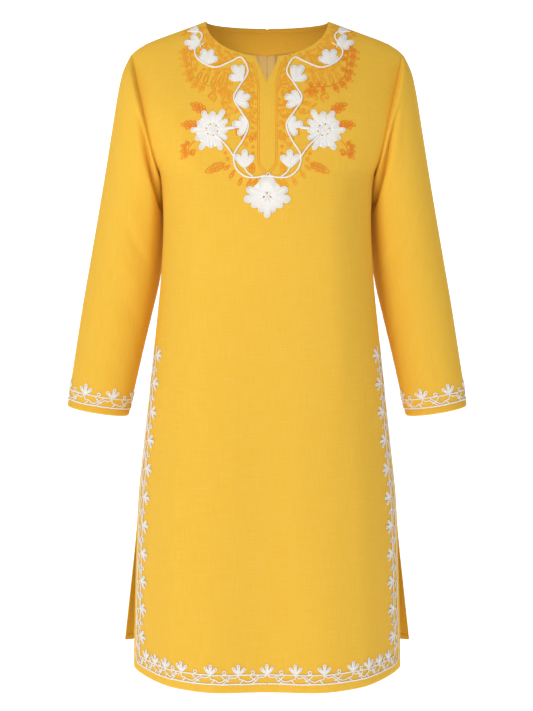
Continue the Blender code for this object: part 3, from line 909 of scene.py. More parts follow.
half_facing = facing_rows()
whole_facing = [row[::-1] + [mirrored(p) for p in row[1:]] for row in half_facing]
back_neck_facing = make_sheet(
    "back_neck_facing_cloth", whole_facing, shaded_facing_cotton, shaded_facing_cotton, thick=0.8
)
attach(back_neck_facing, "root")
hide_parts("back_neck_facing")
print("facing:", round(cut_area(back_neck_facing), 4), "square metres")


# %% The turned strip along each slit
STEPS_ACROSS, STEPS_NEAR_EDGE = 150, 60


def in_from_edge(z, side, count=STEPS_NEAR_EDGE):
    """Distances in from the side edge at height z, and the x that each belongs to."""
    half_width = level_at(side, z)[1]
    turns = [math.pi / 2 * (1.0 - i / STEPS_ACROSS) for i in range(count)]
    across = [half_width * math.sin(turn) for turn in turns]
    return lengths_along([body_at(x, z, side) for x in across]), across


def read_off(wanted, known, values):
    """The value that belongs to a wanted distance, between two known ones."""
    at = max(1, sum(1 for one in known if one < wanted))
    at = min(at, len(known) - 1)
    share = (wanted - known[at - 1]) / (known[at] - known[at - 1])
    return blend(values[at - 1], values[at], share)


STRIP_STEP = 5.0
ACROSS_STRIP = (0.5, 2.0, 4.2, 7.0, 8.6, 10.5, 13.0, 15.2, 16.5)
STRIP_STITCH = 8.6
HEM_TURN_HEIGHT = 9.5


def slit_rows():
    """Rows of the strip that is turned in along the back's slit edge, from the hem up."""
    rows = []
    lengths = [0.4, 4.0, 7.4, 9.0, 9.9, 10.8, 12.4, 16.0]
    while lengths[-1] < SLIT_TOP_Z - HEM_Z - STRIP_STEP:
        lengths.append(lengths[-1] + STRIP_STEP)
    for up in lengths:
        z = HEM_Z + up
        known, across = in_from_edge(z, BACK)
        hem_turn = CLOTH if up < HEM_TURN_HEIGHT else 0.0
        row = []
        for near in ACROSS_STRIP:
            dip = 0.25 * math.exp(-(((near - STRIP_STITCH) / 1.2) ** 2))
            x = read_off(near, known, across)
            row.append(laid_on(x, z, BACK, -(CLOTH + 0.45 + dip + hem_turn)))
        rows.append(row)
    return rows


half_strip = slit_rows()
for name, rows in (("left", half_strip), ("right", mirrored_rows(turned_back(half_strip)))):
    strip = make_sheet(f"slit_strip_{name}", rows, shaded_slit_cotton, shaded_slit_cotton, thick=0.8)
    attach(strip, "root")
    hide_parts(f"slit_turning_{name}")

# %% [markdown]
# ## Thread and cord
# All of the decoration is laid on top of the cloth: white cord, thick enough to feel, and fine
# orange thread. A line of either is a long tube, a little flattened where it lies on the cloth.
# Chain stitch swells and narrows once for every stitch, so the tube's width goes up and down
# along its length. All the cords of one kind are gathered into one mesh, which is lighter for
# the computer than thousands of separate pieces.


# %% A finish for thread
TWIST_ANGLE = 52.0


def spun(name, colour, rough, strand=0.0007, fuzz=0.2, relief=0.6):
    """Thread: a fine twist that runs slantwise round it."""
    tint = (*colour, 1.0)
    finish, tree, shader = new_finish(
        name, Roughness=rough, Sheen_Weight=fuzz, Sheen_Roughness=0.4, Sheen_Tint=tint
    )
    shader.inputs["Base Color"].default_value = tint
    shader.inputs["Specular IOR Level"].default_value = 0.35
    grain = tree.nodes.new("ShaderNodeUVMap").outputs["UV"]
    size = (ONE_BAND / strand, ONE_BAND / strand, 1.0)
    turn = (0.0, 0.0, math.radians(TWIST_ANGLE))
    slant = add(tree, "ShaderNodeMapping", [("Vector", grain)], rotation=turn, scale=size)
    way = [("Vector", slant.outputs["Vector"])]
    twist = add(tree, "ShaderNodeTexWave", way, scale=1.0, distortion=0.4)
    height = [("Height", twist.outputs["Fac"])]
    bump = add(tree, "ShaderNodeBump", height, strength=relief, distance=0.0002)
    tree.links.new(bump.outputs["Normal"], shader.inputs["Normal"])
    return finish


white_cord = spun("white cord", WHITE_THREAD, 0.62)
orange_thread = spun("orange thread", ORANGE_THREAD, 0.5, strand=0.0005, fuzz=1.0, relief=0.2)
deep_orange_and_shade_thread = spun("deep orange thread and painted shade", DEEP_ORANGE_AND_SHADE_THREAD, 0.5, fuzz=0.8, relief=0.3)
sewing_thread = spun("mustard sewing thread", SEWING_THREAD, 0.6, strand=0.0004)


# %% Lay lines in a flat drawing
def even_steps(route, step):
    """The same route in the plane, with points an even step apart."""
    points = [Vector(p) for p in route]
    total = lengths_along(points)
    count = max(2, round(total[-1] / step))
    made, at = [], 0
    for i in range(count + 1):
        wanted = total[-1] * i / count
        while at < len(points) - 2 and total[at + 1] < wanted:
            at += 1
        gap = total[at + 1] - total[at]
        made.append(points[at].lerp(points[at + 1], (wanted - total[at]) / gap if gap else 0.0))
    return made


def through(bends, steps=6):
    """A smooth row of points in the plane through a few bends."""
    points = []
    for at in range(len(bends) - 1):
        before, low = Vector(bends[max(at - 1, 0)]), Vector(bends[at])
        high, after = Vector(bends[at + 1]), Vector(bends[min(at + 2, len(bends) - 1)])
        for step in range(steps):
            t = step / steps
            bent = 2 * low + (high - before) * t
            bent += (2 * before - 5 * low + 4 * high - after) * t**2
            points.append((bent + (3 * low - before - 3 * high + after) * t**3) / 2)
    return points + [Vector(bends[-1])]


def turned_about(points, place, angle, size=1.0):
    """A small drawing turned by an angle in degrees, made larger or smaller, and put in place."""
    turn = math.radians(angle)
    c, s = math.cos(turn) * size, math.sin(turn) * size
    x, z = place
    return [Vector((x + p[0] * c - p[1] * s, z + p[0] * s + p[1] * c)) for p in points]


# %% Gather cords into one mesh
# A cord's ends are narrower, and chain stitch is narrowest between two stitches
END_SIZE, CHAIN_LOW = 0.45, 0.80
FLATTENED = 0.72


class Needlework:
    """Cords that lie on the cloth. place_on says where a point of the drawing is on the cloth."""

    def __init__(self, place_on):
        self.place_on = place_on
        self.points, self.faces, self.grain = [], [], []
        self.metres = 0.0

    def lay(self, route, width, height=None, chain=0.0, step=1.2, lie=0.12, sides=5):
        """One cord along a drawn route, in millimetres. chain is the length of one stitch."""
        height = height or width * FLATTENED
        drawn = even_steps(route, step)
        spots = [self.place_on(p[0], p[1]) for p in drawn]
        along = lengths_along([place for place, way in spots])
        self.metres += along[-1] * MM
        first = len(self.points)
        last = len(spots) - 1
        for i, (place, way) in enumerate(spots):
            ahead = spots[min(i + 1, last)][0] - spots[max(i - 1, 0)][0]
            aside = way.cross(ahead).normalized()
            size = END_SIZE if i in (0, last) else 1.0
            if chain:
                swell = abs(math.sin(math.pi * along[i] / chain))
                size *= CHAIN_LOW + (1.0 - CHAIN_LOW) * swell
            middle = place + way * (height / 2 + lie)
            for k in range(sides):
                angle = 2 * math.pi * (k + 0.5) / sides
                flat = aside * (width / 2 * math.cos(angle) * size)
                self.points.append(middle + flat + way * (height / 2 * math.sin(angle) * size))
        for i in range(last):
            for k in range(sides):
                n = (k + 1) % sides
                low, high = first + i * sides, first + (i + 1) * sides
                self.faces.append((low + k, low + n, high + n, high + k))
                left, right = (math.pi * width / sides * part for part in (k, k + 1))
                near, far = along[i], along[i + 1]
                self.grain += [(left, near), (right, near), (right, far), (left, far)]
        for ring, turn in ((first, -1), (first + last * sides, 1)):
            self.faces.append(tuple(ring + k for k in range(sides))[::turn])
            self.grain += [(0.0, 0.0)] * sides

    def pad(self, outline, rings, height, skip=None, lie=0.1):
        """A low cushion inside an outline drawn round its middle, the first point of the list."""
        middle, edge = Vector(outline[0]), [Vector(p) for p in outline[1:]]
        count = len(edge)
        first = len(self.points)
        place, way = self.place_on(middle[0], middle[1])
        self.points.append(place + way * (height + lie))
        flat = [middle]
        for ring in range(1, rings + 1):
            share = ring / rings
            rise = height * math.sqrt(max(0.0, 1.0 - share**4))
            for p in edge:
                spot = middle.lerp(p, share)
                place, way = self.place_on(spot[0], spot[1])
                self.points.append(place + way * (rise + lie))
                flat.append(spot)
        for k in range(count):
            n = (k + 1) % count
            self.faces.append((first, first + 1 + k, first + 1 + n))
            self.grain += [tuple(flat[0]), tuple(flat[1 + k]), tuple(flat[1 + n])]
            for ring in range(rings - 1):
                low, high = 1 + ring * count, 1 + (ring + 1) * count
                corners = (low + k, high + k, high + n, low + n)
                centre = sum((flat[c] for c in corners), Vector((0.0, 0.0))) / 4
                if skip and skip(centre):
                    continue
                self.faces.append(tuple(first + c for c in corners))
                self.grain += [tuple(flat[c]) for c in corners]

    def finish(self, name, thread, replaced=()):
        """Makes the mesh and fixes it to the kurta."""
        made = mesh_piece(name, self.points, self.faces, self.grain, thread)
        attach(made, "root")
        if replaced:
            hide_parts(*replaced)
        triangles = sum(len(face) - 2 for face in self.faces)
        print(f"{name}: {self.metres:.2f} m laid, {triangles} triangles")
        return made


VINE_FOOT_Z = -235.0
DRAWN_OUT = 0.045
DRAWN_OUT_OVER = 120.0


def on_front(x, z):
    return body_at(x, z, FRONT), facing_way(x, z, FRONT)


def on_front_left(x, z):
    """The wearer's left: the same drawing, drawn out a little towards the shoulder."""
    up = min(1.0, max(0.0, (z - VINE_FOOT_Z) / DRAWN_OUT_OVER))
    return on_front(x * (1.0 + DRAWN_OUT * up), z)


def on_front_right(x, z):
    return on_front(-x, z)


# %% [markdown]
# ## The white vine and its flowers
# A vine of thick cord winds from each shoulder round the neck and down to the middle, with small
# flowers leaning off it on alternate sides. They are couched: the cord is laid on the cloth and
# held by tiny stitches. Each petal is one cord bent into a loop, with a smaller loop inside it,
# over a thin pad that hides the cloth. Both sides are one drawing. It is mirrored for the
# wearer's right and drawn out a little towards the shoulder on the left, because hand work is
# never quite even.

# %% Where the vine and its flowers are, on the wearer's left
VINE_BENDS = (
    (118, -17.5), (101, -18.5), (95.5, -27), (106, -47), (98.5, -63), (76, -73.5), (53, -65.5),
    (37.5, -59.5), (27.5, -80), (39.5, -101), (48, -119.5), (37.5, -139), (27, -157.5),
    (34, -178.5), (47, -200), (45, -219.5), (31.5, -232), (15, -233.5), (2.2, -230.5),
)
ROSETTE_STEM = ((74, -172), (67, -179.5), (57, -190), (48, -203.5))
LAST_FLOWER_STEM = ((32.9, -218), (28.5, -226), (20, -232.6))
TWIG = ((100, -41.5), (90.5, -35))

# A lobe of a flower: the way it points in degrees from +X, how far its tip is from the flower's
# root, and the radius of its round end
Lobe = namedtuple("Lobe", "angle reach radius")
Bloom = namedtuple("Bloom", "x z lobes")

VINE_BLOOMS = (
    Bloom(98.5, -36, (Lobe(3, 24.5, 4.6), Lobe(42, 18.5, 5.2), Lobe(-24, 19, 4.8))),
    Bloom(
        86.6, -67.5,
        (Lobe(106, 22.5, 5.2), Lobe(70, 23.5, 5.4), Lobe(146, 17.5, 4.8), Lobe(40, 17, 4.6)),
    ),
    Bloom(36.5, -93.5, (Lobe(60, 26.5, 5.6), Lobe(88, 23.5, 5.2), Lobe(18, 20, 5))),
    Bloom(46, -124, (Lobe(126, 19.5, 5.4), Lobe(160, 23.5, 5.2), Lobe(200, 21, 5.4))),
    Bloom(29.5, -160.5, (Lobe(60, 17.5, 5.4), Lobe(12, 21.5, 5.6), Lobe(-44, 17.5, 5.2))),
    Bloom(32.9, -219.5, (Lobe(92, 26.5, 5), Lobe(58, 22.5, 5.2), Lobe(126, 22, 5.2))),
)
SHOULDER_BLOOM = Bloom(101, -17, (Lobe(8, 14, 3.6), Lobe(40, 11, 3.4), Lobe(-22, 9, 3)))
ROSETTE = Bloom(
    79.5,
    -165,
    (
        Lobe(0, 31.5, 4.2), Lobe(29, 25, 4.6), Lobe(64, 31, 4.5), Lobe(93, 27, 4.7),
        Lobe(121, 34, 4.4), Lobe(149, 27.5, 3.8), Lobe(181, 24, 4.2), Lobe(211, 26.5, 4.1),
        Lobe(244, 32.5, 4.4), Lobe(274, 27, 4.1), Lobe(301, 33.5, 4.4), Lobe(330, 28, 4.4),
    ),
)
PENDANT = Bloom(
    0,
    -262,
    (
        Lobe(90, 31.5, 12.5), Lobe(23, 32.5, 5.6), Lobe(157, 32.5, 5.6), Lobe(-5.5, 34, 6.2),
        Lobe(185.5, 34, 6.2), Lobe(-31.5, 26.6, 4.7), Lobe(211.5, 26.6, 4.7),
        Lobe(-64, 24.2, 4.7), Lobe(244, 24.2, 4.7), Lobe(-90, 30, 5.3),
    ),
)


# %% Lobes as loops of cord
def lobe_half(lobe, along, root_half=1.6):
    """Half the width of a lobe at a distance from its root."""
    round_from = lobe.reach - lobe.radius
    if along > round_from:
        return math.sqrt(max(0.0, lobe.radius**2 - (along - round_from) ** 2))
    share = max(0.0, along / round_from)
    return blend(root_half, lobe.radius, math.sin(math.pi / 2 * share) ** 0.9)


def lobe_loop(lobe, inset, root):
    """A loop of cord inset from the edge of a lobe that lies along the x axis."""
    tip, round_from = lobe.reach - inset, lobe.reach - lobe.radius
    side = []
    for i in range(15):
        along = blend(root, tip, math.sin(math.pi / 2 * i / 14))
        if along < round_from:
            half = max(0.0, lobe_half(lobe, along) - inset)
        else:
            half = math.sqrt(max(0.0, (lobe.radius - inset) ** 2 - (along - round_from) ** 2))
        side.append((along, half))
    return side + [(x, -y) for x, y in reversed(side[:-1])]


def web_between(bloom, angle, share):
    """How far the solid middle of a fan reaches between two of its neighbouring lobes."""
    reach = 0.0
    for one in bloom.lobes:
        for other in bloom.lobes:
            gap = (other.angle - one.angle + 180.0) % 360.0 - 180.0
            off = (math.degrees(angle) - one.angle + 180.0) % 360.0 - 180.0
            if 0.0 < gap < 70.0 and 0.0 <= off <= gap:
                reach = max(reach, share * min(one.reach, other.reach))
    return reach


def bloom_edge(bloom, inset=0.0, count=120, web=0.66):
    """The root of a flower and the points round the outer edge of all its lobes."""
    outline = [(bloom.x, bloom.z)]
    for i in range(count):
        angle = 2 * math.pi * i / count
        far = web_between(bloom, angle, web)
        for lobe in bloom.lobes:
            off = angle - math.radians(lobe.angle)
            c, s = math.cos(off), math.sin(off)
            for step in range(30, 0, -1):
                reach = lobe.reach * step / 30
                if c > 0.0 and abs(reach * s) <= lobe_half(lobe, reach * c):
                    far = max(far, reach)
                    break
        far = max(0.8, far - inset)
        outline.append((bloom.x + far * math.cos(angle), bloom.z + far * math.sin(angle)))
    return outline


def loops_of(work, bloom, root, cord=1.25, gap=1.5):
    """Every lobe of a flower as loops of cord, each inside the last."""
    for lobe in bloom.lobes:
        inset, wide = 0.85, 1.7
        while lobe.radius - inset > 0.4:
            start = root + 1.3 * inset
            if lobe.reach - inset - start > 3.0:
                loop = lobe_loop(lobe, inset, start)
                placed = turned_about(loop, (bloom.x, bloom.z), lobe.angle)
                work.lay(placed, wide, 0.9, chain=2.3, lie=0.62)
            inset, wide = inset + gap, cord


def small_bloom(work, bloom):
    """A fan of lobes that springs from one root beside the vine."""
    work.pad(bloom_edge(bloom, 0.35, 90), 8, 1.15)
    loops_of(work, bloom, 1.0)


# %% The rosette, with six small holes round its middle
HOLES_FROM_MIDDLE, HOLE_RADIUS = 8.3, 1.2


def in_rosette_hole(centre):
    """True inside one of the six small holes that show the cloth near a rosette's middle."""
    for i in range(6):
        angle = math.radians(15.0 + 60.0 * i)
        x = ROSETTE.x + HOLES_FROM_MIDDLE * math.cos(angle)
        z = ROSETTE.z + HOLES_FROM_MIDDLE * math.sin(angle)
        if (centre - Vector((x, z))).length < HOLE_RADIUS:
            return True
    return False


def coil(turns, radius, count=20):
    """A flat spiral from the middle out."""
    steps = round(turns * count)
    points = []
    for i in range(steps + 1):
        turn = 2 * math.pi * turns * i / steps
        far = 0.3 + (radius - 0.3) * i / steps
        points.append((far * math.cos(turn), far * math.sin(turn)))
    return points


def rosette(work):
    """Twelve fingers of looped cord round a small coil."""
    work.pad(bloom_edge(ROSETTE, 0.35, 180, web=0.76), 26, 1.15, skip=in_rosette_hole)
    loops_of(work, ROSETTE, 10.2)
    place = (ROSETTE.x, ROSETTE.z)
    work.lay(turned_about(coil(2.6, 5.6), place, 20.0), 1.8, 1.35, chain=2.3, lie=0.7)
    for i in range(6):
        spoke = [(6.6, 0.0), (10.6, 0.0)]
        work.lay(turned_about(spoke, place, 45.0 + 60.0 * i), 3.4, 1.5, lie=0.6)


# %% The pendant flower
def in_pendant_hole(centre):
    """The small gaps left round the middle of the pendant flower."""
    for x, z, wide in ((4.7, -261.6, 1.0), (-4.7, -261.6, 1.0), (0.0, -256.0, 0.9)):
        if abs(centre.x - x) < wide and abs(centre.y - z) < 1.7 * wide:
            return True
    return False


PENDANT_NECK = (
    (0, -233.5), (-0.6, -229.5), (1.2, -227), (3.6, -227.4), (3.9, -229.8), (2.2, -230.4),
)


def pendant(work):
    """The middle flower: a bulb above, two lobes to each side and a scalloped point."""
    work.pad(bloom_edge(PENDANT, 0.35, 180, web=0.78), 26, 1.15, skip=in_pendant_hole)
    loops_of(work, PENDANT, 8.2)
    place = (PENDANT.x, PENDANT.z)
    for angle in (60.0, 120.0, 200.0, 245.0, 295.0, 340.0):
        work.lay(turned_about([(2.6, 0.0), (9.0, 0.0)], place, angle), 3.0, 1.45, lie=0.6)
    work.lay(turned_about(coil(1.4, 2.6), place, 0.0), 1.7, 1.3, chain=2.3, lie=0.8)
    work.lay(through(PENDANT_NECK, 5), 1.7, 1.4, chain=2.2, lie=0.8)
    work.lay([(-4.0, -231.5), (0.0, -232.0), (4.0, -231.5)], 2.6, 1.6, lie=0.6)


# %% Sew the white work, once for each side
for name, place_on in (("left", on_front_left), ("right", on_front_right)):
    vine = Needlework(place_on)
    vine.lay(through(VINE_BENDS, 8), 2.6, 2.2, step=1.3, lie=0.25, sides=8)
    vine.lay(through(ROSETTE_STEM, 6), 2.4, 2.0, step=1.3, lie=0.9, sides=8)
    vine.lay(through(LAST_FLOWER_STEM, 6), 2.3, 1.9, step=1.3, lie=0.3, sides=8)
    vine.lay([(60.0, -163.2), (54.0, -162.6), (46.0, -162.0)], 5.4, 1.7, lie=0.3)
    vine.lay(TWIG, 1.8, 1.4, chain=2.2, lie=0.4)
    vine.lay([(97.0, -43.5), (99.5, -37.0)], 1.6, 1.3, lie=0.5)
    vine.finish(f"white_vine_{name}", white_cord, [f"vine_{name}"])
    blooms = Needlework(place_on)
    for bloom in VINE_BLOOMS + (SHOULDER_BLOOM,):
        small_bloom(blooms, bloom)
    rosette(blooms)
    covered = [f"vine_flower_{name}_{n}" for n in range(1, 7)] + [f"rosette_{name}"]
    blooms.finish(f"white_flowers_{name}", white_cord, covered)
middle_flower = Needlework(on_front)
pendant(middle_flower)
middle_flower.finish("white_pendant_flower", white_cord, ["pendant_flower"])

# %% [markdown]
# ## The orange work
# Behind the white vine lies a second layer in thin orange thread: curls packed so closely
# between the neck edge and the vine that they colour the cloth, a fern that arches round the
# outside, and a few single leaves near the rosettes. A curl is a flat spiral. A fern is a curved
# stem with notched leaflets. Each is a short drawing that is turned, sized and set in place, with
# a little chance in its size and turn, as when a person draws it many times. There are two shades
# of thread: the darker one is used for the leaves near the rosettes and for the drops below the
# vine on the wearer's right; on the fern on the wearer's left, the side away from the lamp, it is
# painted shade.


# %% Small drawings for the orange thread
def drop(length, wide, lean=0.0):
    """A plain teardrop along the x axis, leaning to one side at its tip."""
    points = []
    for i in range(17):
        t = 2 * math.pi * i / 16
        x = length * (1 - math.cos(t)) / 2
        y = wide * math.sin(t) * abs(math.sin(t / 2)) ** 0.8
        points.append((x, y + lean * (x / length) ** 2))
    return points


def hook(length, radius):
    """A short stem along the x axis that ends in a curl."""
    curl = turned_about(coil(1.25, radius, 14), (length, -radius), 0.0)
    return [(0.0, 0.0), (0.5 * length, 0.06 * length)] + [tuple(p) for p in reversed(curl)]


def inside(place, corners):
    """True where a place is inside a closed drawing."""
    hit = False
    for a, b in zip(corners, corners[1:] + corners[:1]):
        if (a[1] > place[1]) != (b[1] > place[1]):
            cross = (b[0] - a[0]) * (place[1] - a[1]) / (b[1] - a[1]) + a[0]
            hit ^= place[0] < cross
    return hit


VINE_LINE = through(VINE_BENDS, 6)


def clear_of_white(place, room):
    """True where a place is clear of the white vine, flowers and rosette."""
    for bloom in VINE_BLOOMS:
        for lobe in bloom.lobes:
            angle = math.radians(lobe.angle)
            for share in (0.3, 0.75):
                x = bloom.x + share * lobe.reach * math.cos(angle)
                z = bloom.z + share * lobe.reach * math.sin(angle)
                if math.hypot(place[0] - x, place[1] - z) < room + 2.5:
                    return False
    if math.hypot(place[0] - ROSETTE.x, place[1] - ROSETTE.z) < room + 24.0:
        return False
    return all(math.hypot(place[0] - p[0], place[1] - p[1]) > room for p in VINE_LINE)


# %% Where the orange work goes, on the wearer's left
def under_neck(x):
    """A place on the front just under the neck edge."""
    return (x, neck_z(x, FRONT_NECK_DROP) - 4.6)


NECK_SIDE = [under_neck(x) for x in (24, 32, 40, 50, 60, 68, 75, 81, 86)]
BESIDE_NECK = (
    [tuple(p) for p in VINE_LINE if p[1] > -172.0]
    + [(16.0, -170.0), (16.0, -104.0), (20.5, -80.0), (24.0, -67.0)]
    + NECK_SIDE
    + [(90.0, -14.0), (96.0, -7.0), (112.0, -11.5)]
)
OUTSIDE_TOP = [(103, -14), (122, -13), (128, -24), (114, -28), (112, -36)]
UNDER_VINE = [
    (106, -56), (92, -70), (76, -75), (60, -70), (52, -72), (50, -104), (60, -100), (62, -84),
    (88, -80), (104, -72),
]
BESIDE_FOURTH = [(70, -106), (52, -108), (45, -118), (38, -140), (60, -146), (66, -128)]
FERN_SPINE = (
    (115, -43), (112.5, -60), (110.5, -77), (106, -88.5), (96, -97.5), (84, -101.5), (70, -102.5),
    (60, -104.5), (51.5, -110.5),
)
# A leaf of the fern: its root, the way it points in degrees, its length
Frond = namedtuple("Frond", "x z angle length")
FRONDS = (
    Frond(115, -47, -8, 15.5), Frond(114, -56, -12, 16), Frond(112, -67, -10, 14.5),
    Frond(110, -77.5, -22, 14.5), Frond(107.5, -86, -33, 14), Frond(101, -93.5, -46, 14.5),
    Frond(93, -99, -62, 13), Frond(114.5, -44, 52, 9.5), Frond(113, -52, 128, 9.5),
    Frond(111.5, -62, 140, 9.5), Frond(108, -79, 118, 9), Frond(78, -102.5, -98, 8),
    Frond(66, -103.5, -88, 13), Frond(59, -105.5, -76, 12), Frond(60, -104, 82, 9),
    Frond(70, -102, 70, 8),
)
# Long drops that hang between the vine and the fern: their round end, the way up, their length
PAISLEYS = (
    Frond(101.5, -92, 112, 20), Frond(91.5, -98, 106, 25), Frond(80.5, -100.5, 110, 22),
    Frond(69.5, -100, 106, 21),
)
PLACKET_LINES = (
    ((20.5, -64), (15.8, -79), (11.8, -98), (11.5, -213), (1.6, -226)),
    ((23.1, -66), (18.6, -81), (14.4, -99.5), (14.1, -214.5), (4, -228.5)),
)


# %% Orange fillings
def fill_with_curls(work, corners, pitch, chance, room=2.6):
    """Small curls packed inside a closed drawing, clear of the white work."""
    count, row = 0, 0
    z = max(corner[1] for corner in corners)
    low_z = min(corner[1] for corner in corners)
    low_x = min(corner[0] for corner in corners)
    high_x = max(corner[0] for corner in corners)
    while z > low_z:
        x = low_x + (pitch / 2 if row % 2 else 0.0)
        while x < high_x:
            place = (x + chance.uniform(-0.4, 0.4), z + chance.uniform(-0.4, 0.4))
            on_the_front = place[1] < shoulder_z(place[0]) - 4.0
            if on_the_front and inside(place, corners) and clear_of_white(place, room):
                kind = chance.random()
                if kind < 0.55:
                    drawing = coil(chance.choice((1.5, 1.8)), 0.52 * pitch, 12)
                elif kind < 0.8:
                    drawing = hook(0.7 * pitch, 0.33 * pitch)
                else:
                    drawing = drop(1.15 * pitch, 0.36 * pitch)
                turned = turned_about(drawing, place, chance.uniform(0.0, 360.0))
                work.lay(turned, 0.95, 0.35, step=1.0, lie=0.05)
                count += 1
            x += pitch
        z -= 0.87 * pitch
        row += 1
    return count


def notched_leaf(work, leaf):
    """A leaf of five narrow drops on one stem, like a fern's."""
    place, length = (leaf.x, leaf.z), leaf.length
    work.lay(turned_about([(0.0, 0.0), (0.5 * length, 0.0)], place, leaf.angle), 0.9, 0.5)
    tip = turned_about([(0.4 * length, 0.0)], place, leaf.angle)[0]
    end = turned_about(drop(0.62 * length, 1.7), tip, leaf.angle)
    work.lay(end, 1.0, 0.4, step=0.9)
    for share, size in ((0.12, 0.42), (0.38, 0.40)):
        out = turned_about([(share * length, 0.0)], place, leaf.angle)[0]
        for way in (-50.0, 50.0):
            turned = turned_about(drop(length * size, 1.35), out, leaf.angle + way)
            work.lay(turned, 1.0, 0.4, step=0.9)


def paisley(work, leaf):
    """A long drop with a hooked tip and a smaller drop inside its round end."""
    for size, wide in ((1.0, 4.2), (0.56, 2.0)):
        points = []
        for i in range(25):
            t = 2 * math.pi * i / 24
            x = size * leaf.length * (1 - math.cos(t)) / 2
            y = wide * math.sin(t) * (1.15 - x / leaf.length)
            points.append((x + (1.0 - size) * 3.0, y + 2.4 * (x / leaf.length) ** 3))
        turned = turned_about(points, (leaf.x, leaf.z), leaf.angle)
        work.lay(turned, 1.0, 0.5, chain=1.9, step=1.1)


# %% Leaves with veins, and leaves with a torn edge
# Drops of the ragged leaf: where on its stem, how far they turn off it, how long they are
RAGGED_DROPS = (
    (0.56, 4, 0.46), (0.5, 38, 0.36), (0.44, -36, 0.38), (0.24, 42, 0.4), (0.2, -44, 0.36),
    (0.02, 40, 0.36), (0, -42, 0.32),
)


def ragged_leaf(work, root, angle, length):
    """A dense leaf with a torn edge: pairs of fat drops along a stem, and one at the tip."""
    work.lay(turned_about([(-4.0, 0.0), (0.6 * length, 0.0)], root, angle), 1.4, 0.6)
    for share, turn, size in RAGGED_DROPS:
        spot = turned_about([(share * length, 0.0)], root, angle)[0]
        for inner in (1.0, 0.55):
            shape = drop(size * length * inner, 2.6 * inner)
            work.lay(turned_about(shape, spot, angle + turn), 1.5, 0.6, chain=2.0, step=1.0)


def veined_leaf(work, root, angle, length, wide, veins):
    """A leaf with an outline, a middle vein and slanting side veins."""
    outline = []
    for i in range(33):
        t = 2 * math.pi * i / 32
        x = length * (1 - math.cos(t)) / 2
        notch = 1.0 + 0.16 * math.cos(9 * t)
        outline.append((x, wide * math.sin(t) * notch * (1.0 - 0.35 * x / length)))
    work.lay(turned_about(outline, root, angle), 1.05, 0.6, chain=2.0, step=1.0)
    work.lay(turned_about([(-3.0, 0.0), (0.86 * length, 0.0)], root, angle), 1.0, 0.6, step=1.0)
    for i in range(veins):
        x = length * (0.1 + 0.7 * i / veins)
        reach = wide * 0.78 * math.sin(math.pi * (0.25 + 0.6 * i / veins))
        for way in (-1, 1):
            vein = [(x, 0.0), (x + 0.5 * reach, way * reach)]
            work.lay(turned_about(vein, root, angle), 1.2, 0.6, step=0.9)


# %% Orange work on one side
# Small curls set one by one: where, how large, which way
SINGLE_CURLS = (
    ((57.5, -207), 3.6, 30), ((60, -199), 3, 200), ((53, -195.5), 2.6, 90),
    ((30.5, -186), 4.4, 150), ((21.5, -189.5), 3, 20), ((20.5, -199.5), 2.6, 250),
    ((42, -168), 2.8, 10), ((55.5, -151.5), 2.8, 210),
)
# Drops below the rosette and the vine: where, which way, how long
SINGLE_DROPS = (
    ((53.5, -216), -36, 10.5), ((47, -223.5), -58, 13), ((36.5, -233.5), -68, 12),
    ((23, -235.5), -64, 13), ((14.5, -236), -52, 10.5), ((24, -174), -95, 9),
    ((17.5, -172), -80, 8), ((38, -178), 150, 9), ((25.5, -213), -100, 13),
    ((20, -213), -88, 13.5), ((44, -173.5), 100, 11),
)


def fern(work):
    """The leafy branch that sweeps from the shoulder to the vine."""
    work.lay(through(FERN_SPINE, 8), 1.7, 0.6, chain=2.0)
    for leaf in FRONDS:
        notched_leaf(work, leaf)


def hanging_drops(work):
    """Drops below the vine and beside the placket, one inside the other."""
    for place, angle, length in SINGLE_DROPS:
        for inner in (1.0, 0.6):
            shape = turned_about(drop(length * inner, 2.7 * inner), place, angle)
            work.lay(shape, 1.2, 0.5, chain=2.0, step=1.0)


def orange_side(work, chance):
    """The paler orange work on one side of the chest."""
    packed = fill_with_curls(work, BESIDE_NECK, 5.0, chance)
    packed += fill_with_curls(work, OUTSIDE_TOP, 5.2, chance)
    packed += fill_with_curls(work, UNDER_VINE, 5.8, chance, 3.0)
    packed += fill_with_curls(work, BESIDE_FOURTH, 5.6, chance, 3.0)
    for leaf in PAISLEYS:
        paisley(work, leaf)
    for line in PLACKET_LINES:
        work.lay(line, 1.0, 0.5, chain=1.9, step=1.3)
    for radius, wide in ((8.4, 1.2), (6.2, 1.0)):
        spiral = turned_about(coil(1.45, radius, 18), (81.0, -117.3), 96.0)
        work.lay(spiral, wide, 0.6, chain=2.0)
    tail = ((81.0, -109.0), (73.0, -109.5), (66.0, -106.0), (58.0, -106.5), (50.0, -113.0))
    work.lay(through(tail), 1.1, 0.6, chain=2.0)
    for place, radius, angle in SINGLE_CURLS:
        work.lay(turned_about(coil(1.75, radius, 14), place, angle), 1.0, 0.5, step=1.0)
    branch = ((13.5, -167.5), (22.0, -170.5), (30.0, -175.5))
    for fall in (0.0, 2.0):
        work.lay([(x, z - fall) for x, z in branch], 1.0, 0.5, chain=2.0)
    return packed


